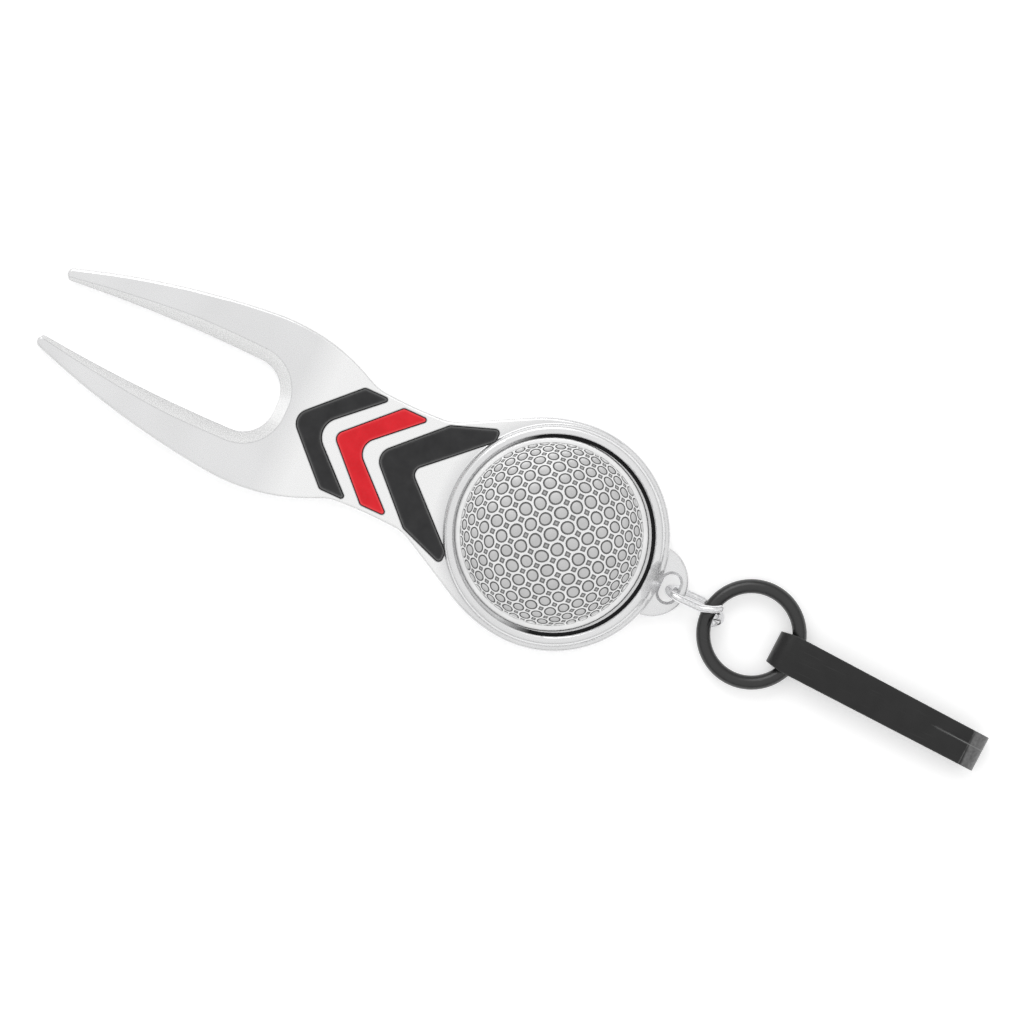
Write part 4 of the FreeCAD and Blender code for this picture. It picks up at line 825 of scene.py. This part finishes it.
def model_jump_ring():
    """The split ring: round wire bent to an oval, with its two ends sprung past each other."""
    half = JUMP_STRAIGHT / 2
    turn = math.radians(UPPER_END_ANGLE)
    deselect_all()
    bpy.ops.mesh.primitive_circle_add(
        vertices=20, radius=JUMP_WIRE, fill_type="NGON", rotation=(0, -turn, 0),
        location=(half + JUMP_END * math.cos(turn), UPPER_ASIDE, JUMP_END * math.sin(turn)))
    bpy.ops.object.transform_apply(location=True, rotation=True, scale=True)
    ring = begin("split_jump_ring")
    right, left = (half, 0), (-half, 0)
    bpy.ops.mesh.select_all(action="SELECT")
    sweep(ring, [
        ("arc", right, 90 - UPPER_END_ANGLE, 6, -UPPER_ARC_ASIDE),
        ("line", -0.3 * JUMP_STRAIGHT, 0, 3, UPPER_ARC_ASIDE - UPPER_ASIDE),
        ("line", -0.7 * JUMP_STRAIGHT, 0, 3, 0),
        ("arc", left, 180, 24, 0),
        ("line", 0.7 * JUMP_STRAIGHT, 0, 3, 0),
        ("line", 0.3 * JUMP_STRAIGHT, 0, 3, -LOWER_LINE_ASIDE),
        ("arc", right, 90 + LOWER_END_ANGLE, 20, -LOWER_ARC_ASIDE)])
    close_up()
    end()
    round_off(ring, JUMP_ROUND, 2, 60)
    settle(ring, turn=(JUMP_LEAN, 0, 0), place=JUMP_PLACE)
    smooth(ring, 50)
    finish_with(ring, bright_wire())
    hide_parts("jump_ring")
    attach(ring, "jump_link")


# --------------------------------------------------------------- belt clip

STRIP = 0.8 * MM
ROLL = 1.7 * MM
EYE_HALF = 0.5 * MM
EYE_END_ANGLE = 20.0
BEND_AT = 24.5 * MM
EYE_WIDTH = 4.25 * MM
SHOULDER_WIDTH = 4.95 * MM
SHOULDER_AT = -0.6 * MM
END_WIDTH = 4.65 * MM
TONGUE_WIDTH = 4.1 * MM
STRIP_ROUND = 0.09 * MM
RIB_START = 19.8 * MM
RIB_CUTS = (0.04 * MM, 0.10 * MM, 0.20 * MM)
RIB_RISE = 0.08 * MM
RIB_DIP = 0.06 * MM
TONGUE_RISE = 2.5
LIP_ANGLE = 14.0
NIP_AT = 7.0 * MM
NIP_RADIUS = 3.0 * MM
LIP_AT = 4.0 * MM


def between(x, near, far, near_value, far_value):
    """A value that runs evenly from one place to another and stays level past both."""
    share = min(max((x - near) / (far - near), 0), 1)
    return near_value + share * (far_value - near_value)


def arm_width(x):
    """How wide the arm is: it widens from the eye to its shoulder, then narrows to the end."""
    if x < SHOULDER_AT:
        return between(x, -EYE_HALF - ROLL, SHOULDER_AT, EYE_WIDTH, SHOULDER_WIDTH)
    return between(x, SHOULDER_AT, BEND_AT + ROLL, SHOULDER_WIDTH, END_WIDTH)


def strip_section(name, width):
    """The strip's cross-section at the start of the end bend, its corners rounded."""
    deselect_all()
    bpy.ops.mesh.primitive_plane_add(size=STRIP, rotation=(0, math.radians(90), 0),
                                     location=(BEND_AT, 0, ROLL))
    bpy.ops.object.transform_apply(location=True, rotation=True, scale=True)
    piece = begin(name)
    bpy.ops.mesh.select_all(action="SELECT")
    stretch((1, width / STRIP, 1), (BEND_AT, 0, ROLL))
    bpy.ops.mesh.bevel(affect="VERTICES", offset=STRIP_ROUND, segments=3)
    bpy.ops.mesh.select_all(action="SELECT")
    return piece


def raise_rib(piece):
    """The thin pressed line on top of the arm, beside its middle, with a dip each side."""
    top = ROLL + STRIP / 2
    inner, middle, outer = RIB_CUTS

    def on_top(at, side, within):
        return (abs(at.y - RIB_SIDE - side) < within and abs(at.z - top) < 0.01 * MM
                and at.x > RIB_START + 0.1 * MM)

    for side in (-outer, -middle, -inner, inner, middle, outer):
        pick(piece, "FACE", lambda at, normal: at.x > RIB_START and normal.z > 0.9)
        bpy.ops.mesh.bisect(plane_co=(0, RIB_SIDE + side, 0), plane_no=(0, 1, 0),
                            threshold=CUT_CLOSE)
    pick(piece, "VERT", lambda at, normal: on_top(at, 0, 1.5 * inner))
    bpy.ops.transform.translate(value=(0, 0, RIB_RISE))
    for side in (-middle, middle):
        pick(piece, "VERT", lambda at, normal: on_top(at, side, 0.3 * middle))
        bpy.ops.transform.translate(value=(0, 0, -RIB_DIP))


def model_clip_arm():
    """The clip's upper strip and the eye rolled at its end, round the black ring."""
    arm = strip_section("belt_clip_arm", arm_width(BEND_AT))
    sweep(arm, [
        ("line", RIB_START - BEND_AT, 0, 3, 0),
        ("line", -EYE_HALF - RIB_START, 0, 5, 0),
        ("arc", (-EYE_HALF, 0), 180, 24, 0),
        ("line", 2 * EYE_HALF, 0, 2, 0),
        ("arc", (EYE_HALF, 0), 90 + EYE_END_ANGLE, 14, 0)], arm_width)
    close_up()
    raise_rib(arm)
    end()
    settle(arm, turn=(0, 0, CLIP_TURN), place=EYE)
    smooth(arm, 40)
    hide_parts("clip_arm")
    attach(arm, "clip")
    return arm


def tongue_width(x):
    """How wide the tongue is: it narrows just inside the end bend."""
    return between(x, BEND_AT - 2 * MM, BEND_AT, TONGUE_WIDTH, arm_width(BEND_AT))


def model_clip_tongue():
    """The end bend and the springing tongue under the arm, with its turned-out lip."""
    tongue = strip_section("belt_clip_tongue", arm_width(BEND_AT))
    rise = math.radians(TONGUE_RISE)
    leave = (BEND_AT - ROLL * math.sin(rise), -ROLL * math.cos(rise))
    nip_height = leave[1] + (leave[0] - NIP_AT) * math.tan(rise)
    turn = LIP_ANGLE + TONGUE_RISE
    setback = NIP_RADIUS * math.tan(math.radians(turn / 2))
    start = (NIP_AT + setback * math.cos(rise), nip_height - setback * math.sin(rise))
    centre = (start[0] - NIP_RADIUS * math.sin(rise), start[1] - NIP_RADIUS * math.cos(rise))
    lip = math.radians(LIP_ANGLE)
    lip_start = centre[0] - NIP_RADIUS * math.sin(lip)
    reach = lip_start - LIP_AT
    sweep(tongue, [
        ("arc", (BEND_AT, 0), -180 - TONGUE_RISE, 26, 0),
        ("line", start[0] - leave[0], start[1] - leave[1], 8, 0),
        ("arc", centre, turn, 4, 0),
        ("line", -reach, -reach * math.tan(lip), 1, 0)], tongue_width)
    close_up()
    end()
    settle(tongue, turn=(0, 0, CLIP_TURN), place=EYE)
    smooth(tongue, 40)
    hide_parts("clip_tongue")
    seam = EYE + Vector((BEND_AT + ROLL, 0, 0))
    seam.y = EYE.y + (BEND_AT + ROLL) * math.sin(CLIP_TURN)
    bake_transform(tongue)
    return tongue


# --------------------------------------------------------------- the object

FLOOR_SIZE = 6.0
FLOOR_DROP = 0.02 * MM
FLOOR_GLOW = 0.32
DOME_STRENGTH = 1.05
LAMP_PLACE = (-0.35, 0.45, 0.6)
LAMP_SIZE = 0.5
LAMP_POWER = 1.2


def finish_cad_nodes():
    """Puts the finishes on the pieces that keep their CAD shape."""
    nodes = frame["nodes"]
    finish_with(nodes["tool_body"], plated_casting())
    # Each enamel's last two colours are the painted highlight on its lip and the painted shade on
    # its foot.
    black = enamel("black_enamel", (0.018, 0.018, 0.019), (0.028, 0.028, 0.029),
                   (0.15, 0.15, 0.15), (0.001, 0.001, 0.001))
    finish_with(nodes["front_chevron"], black)
    finish_with(nodes["rear_chevron"], black)
    red = enamel("red_enamel", (0.66, 0.006, 0.014), (0.75, 0.012, 0.022),
                 (0.90, 0.075, 0.085), (0.035, 0.001, 0.002))
    finish_with(nodes["middle_chevron"], red)
    finish_with(nodes["marker_magnet"], magnet_plate())
    finish_with(nodes["carrier_ring"], black_coat("black_ring_coat", 0.10, 0.18, 0.60, 0.010))


def lay_floor():
    """A pale floor that is clear from below."""
    deselect_all()
    bpy.ops.mesh.primitive_plane_add(size=FLOOR_SIZE, location=(0, 0, -FLOOR_DROP))
    floor = bpy.context.object
    floor.name = "floor"
    material, tree, shader = new_material("pale_floor")
    shader.inputs["Base Color"].default_value = (0.92, 0.92, 0.92, 1)
    shader.inputs["Emission Color"].default_value = (1, 1, 1, 1)
    shader.inputs["Emission Strength"].default_value = FLOOR_GLOW
    shader.inputs["Roughness"].default_value = 0.9
    shader.inputs["Specular IOR Level"].default_value = 0.1
    clear = tree.nodes.new("ShaderNodeBsdfTransparent")
    underneath = add_node(tree, "ShaderNodeNewGeometry").outputs["Backfacing"]
    one_sided = tree.nodes.new("ShaderNodeMixShader")
    tree.links.new(underneath, one_sided.inputs[0])
    tree.links.new(shader.outputs[0], one_sided.inputs[1])
    tree.links.new(clear.outputs[0], one_sided.inputs[2])
    tree.links.new(one_sided.outputs[0], tree.nodes["Material Output"].inputs["Surface"])
    finish_with(floor, material)


def light_tool():
    """A soft white dome, dim in a band above the horizon, and a soft lamp to one side."""
    world = bpy.data.worlds.new("soft_dome")
    bpy.context.scene.world = world
    world.use_nodes = True
    tree = world.node_tree
    sky = add_node(tree, "ShaderNodeTexCoord").outputs["Generated"]
    glow = ramp(tree, split(tree, sky)["Z"], [
        (0.0, 1.0), (0.14, 1.0), (0.22, 0.35), (0.34, 0.40),
        (0.55, 0.85), (0.9, 0.92), (1.0, 0.94)])
    background = tree.nodes["Background"]
    tree.links.new(glow, background.inputs["Color"])
    background.inputs["Strength"].default_value = DOME_STRENGTH

    bpy.ops.object.light_add(type="AREA", location=LAMP_PLACE)
    lamp = bpy.context.object
    lamp.name = "soft_key"
    lamp.data.size = LAMP_SIZE
    lamp.data.energy = LAMP_POWER
    lamp.rotation_euler = (-lamp.location).to_track_quat("-Z", "Y").to_euler()


model_marker()
model_jump_ring()
STRIP_COAT = black_coat("black_strip_coat", 0.26, 0.42, 0.30, 0.012, grey_end=True)
finish_with(model_clip_arm(), STRIP_COAT)
finish_with(model_clip_tongue(), STRIP_COAT)
finish_cad_nodes()
lay_floor()
light_tool()
bpy.context.scene.view_settings.view_transform = "Standard"
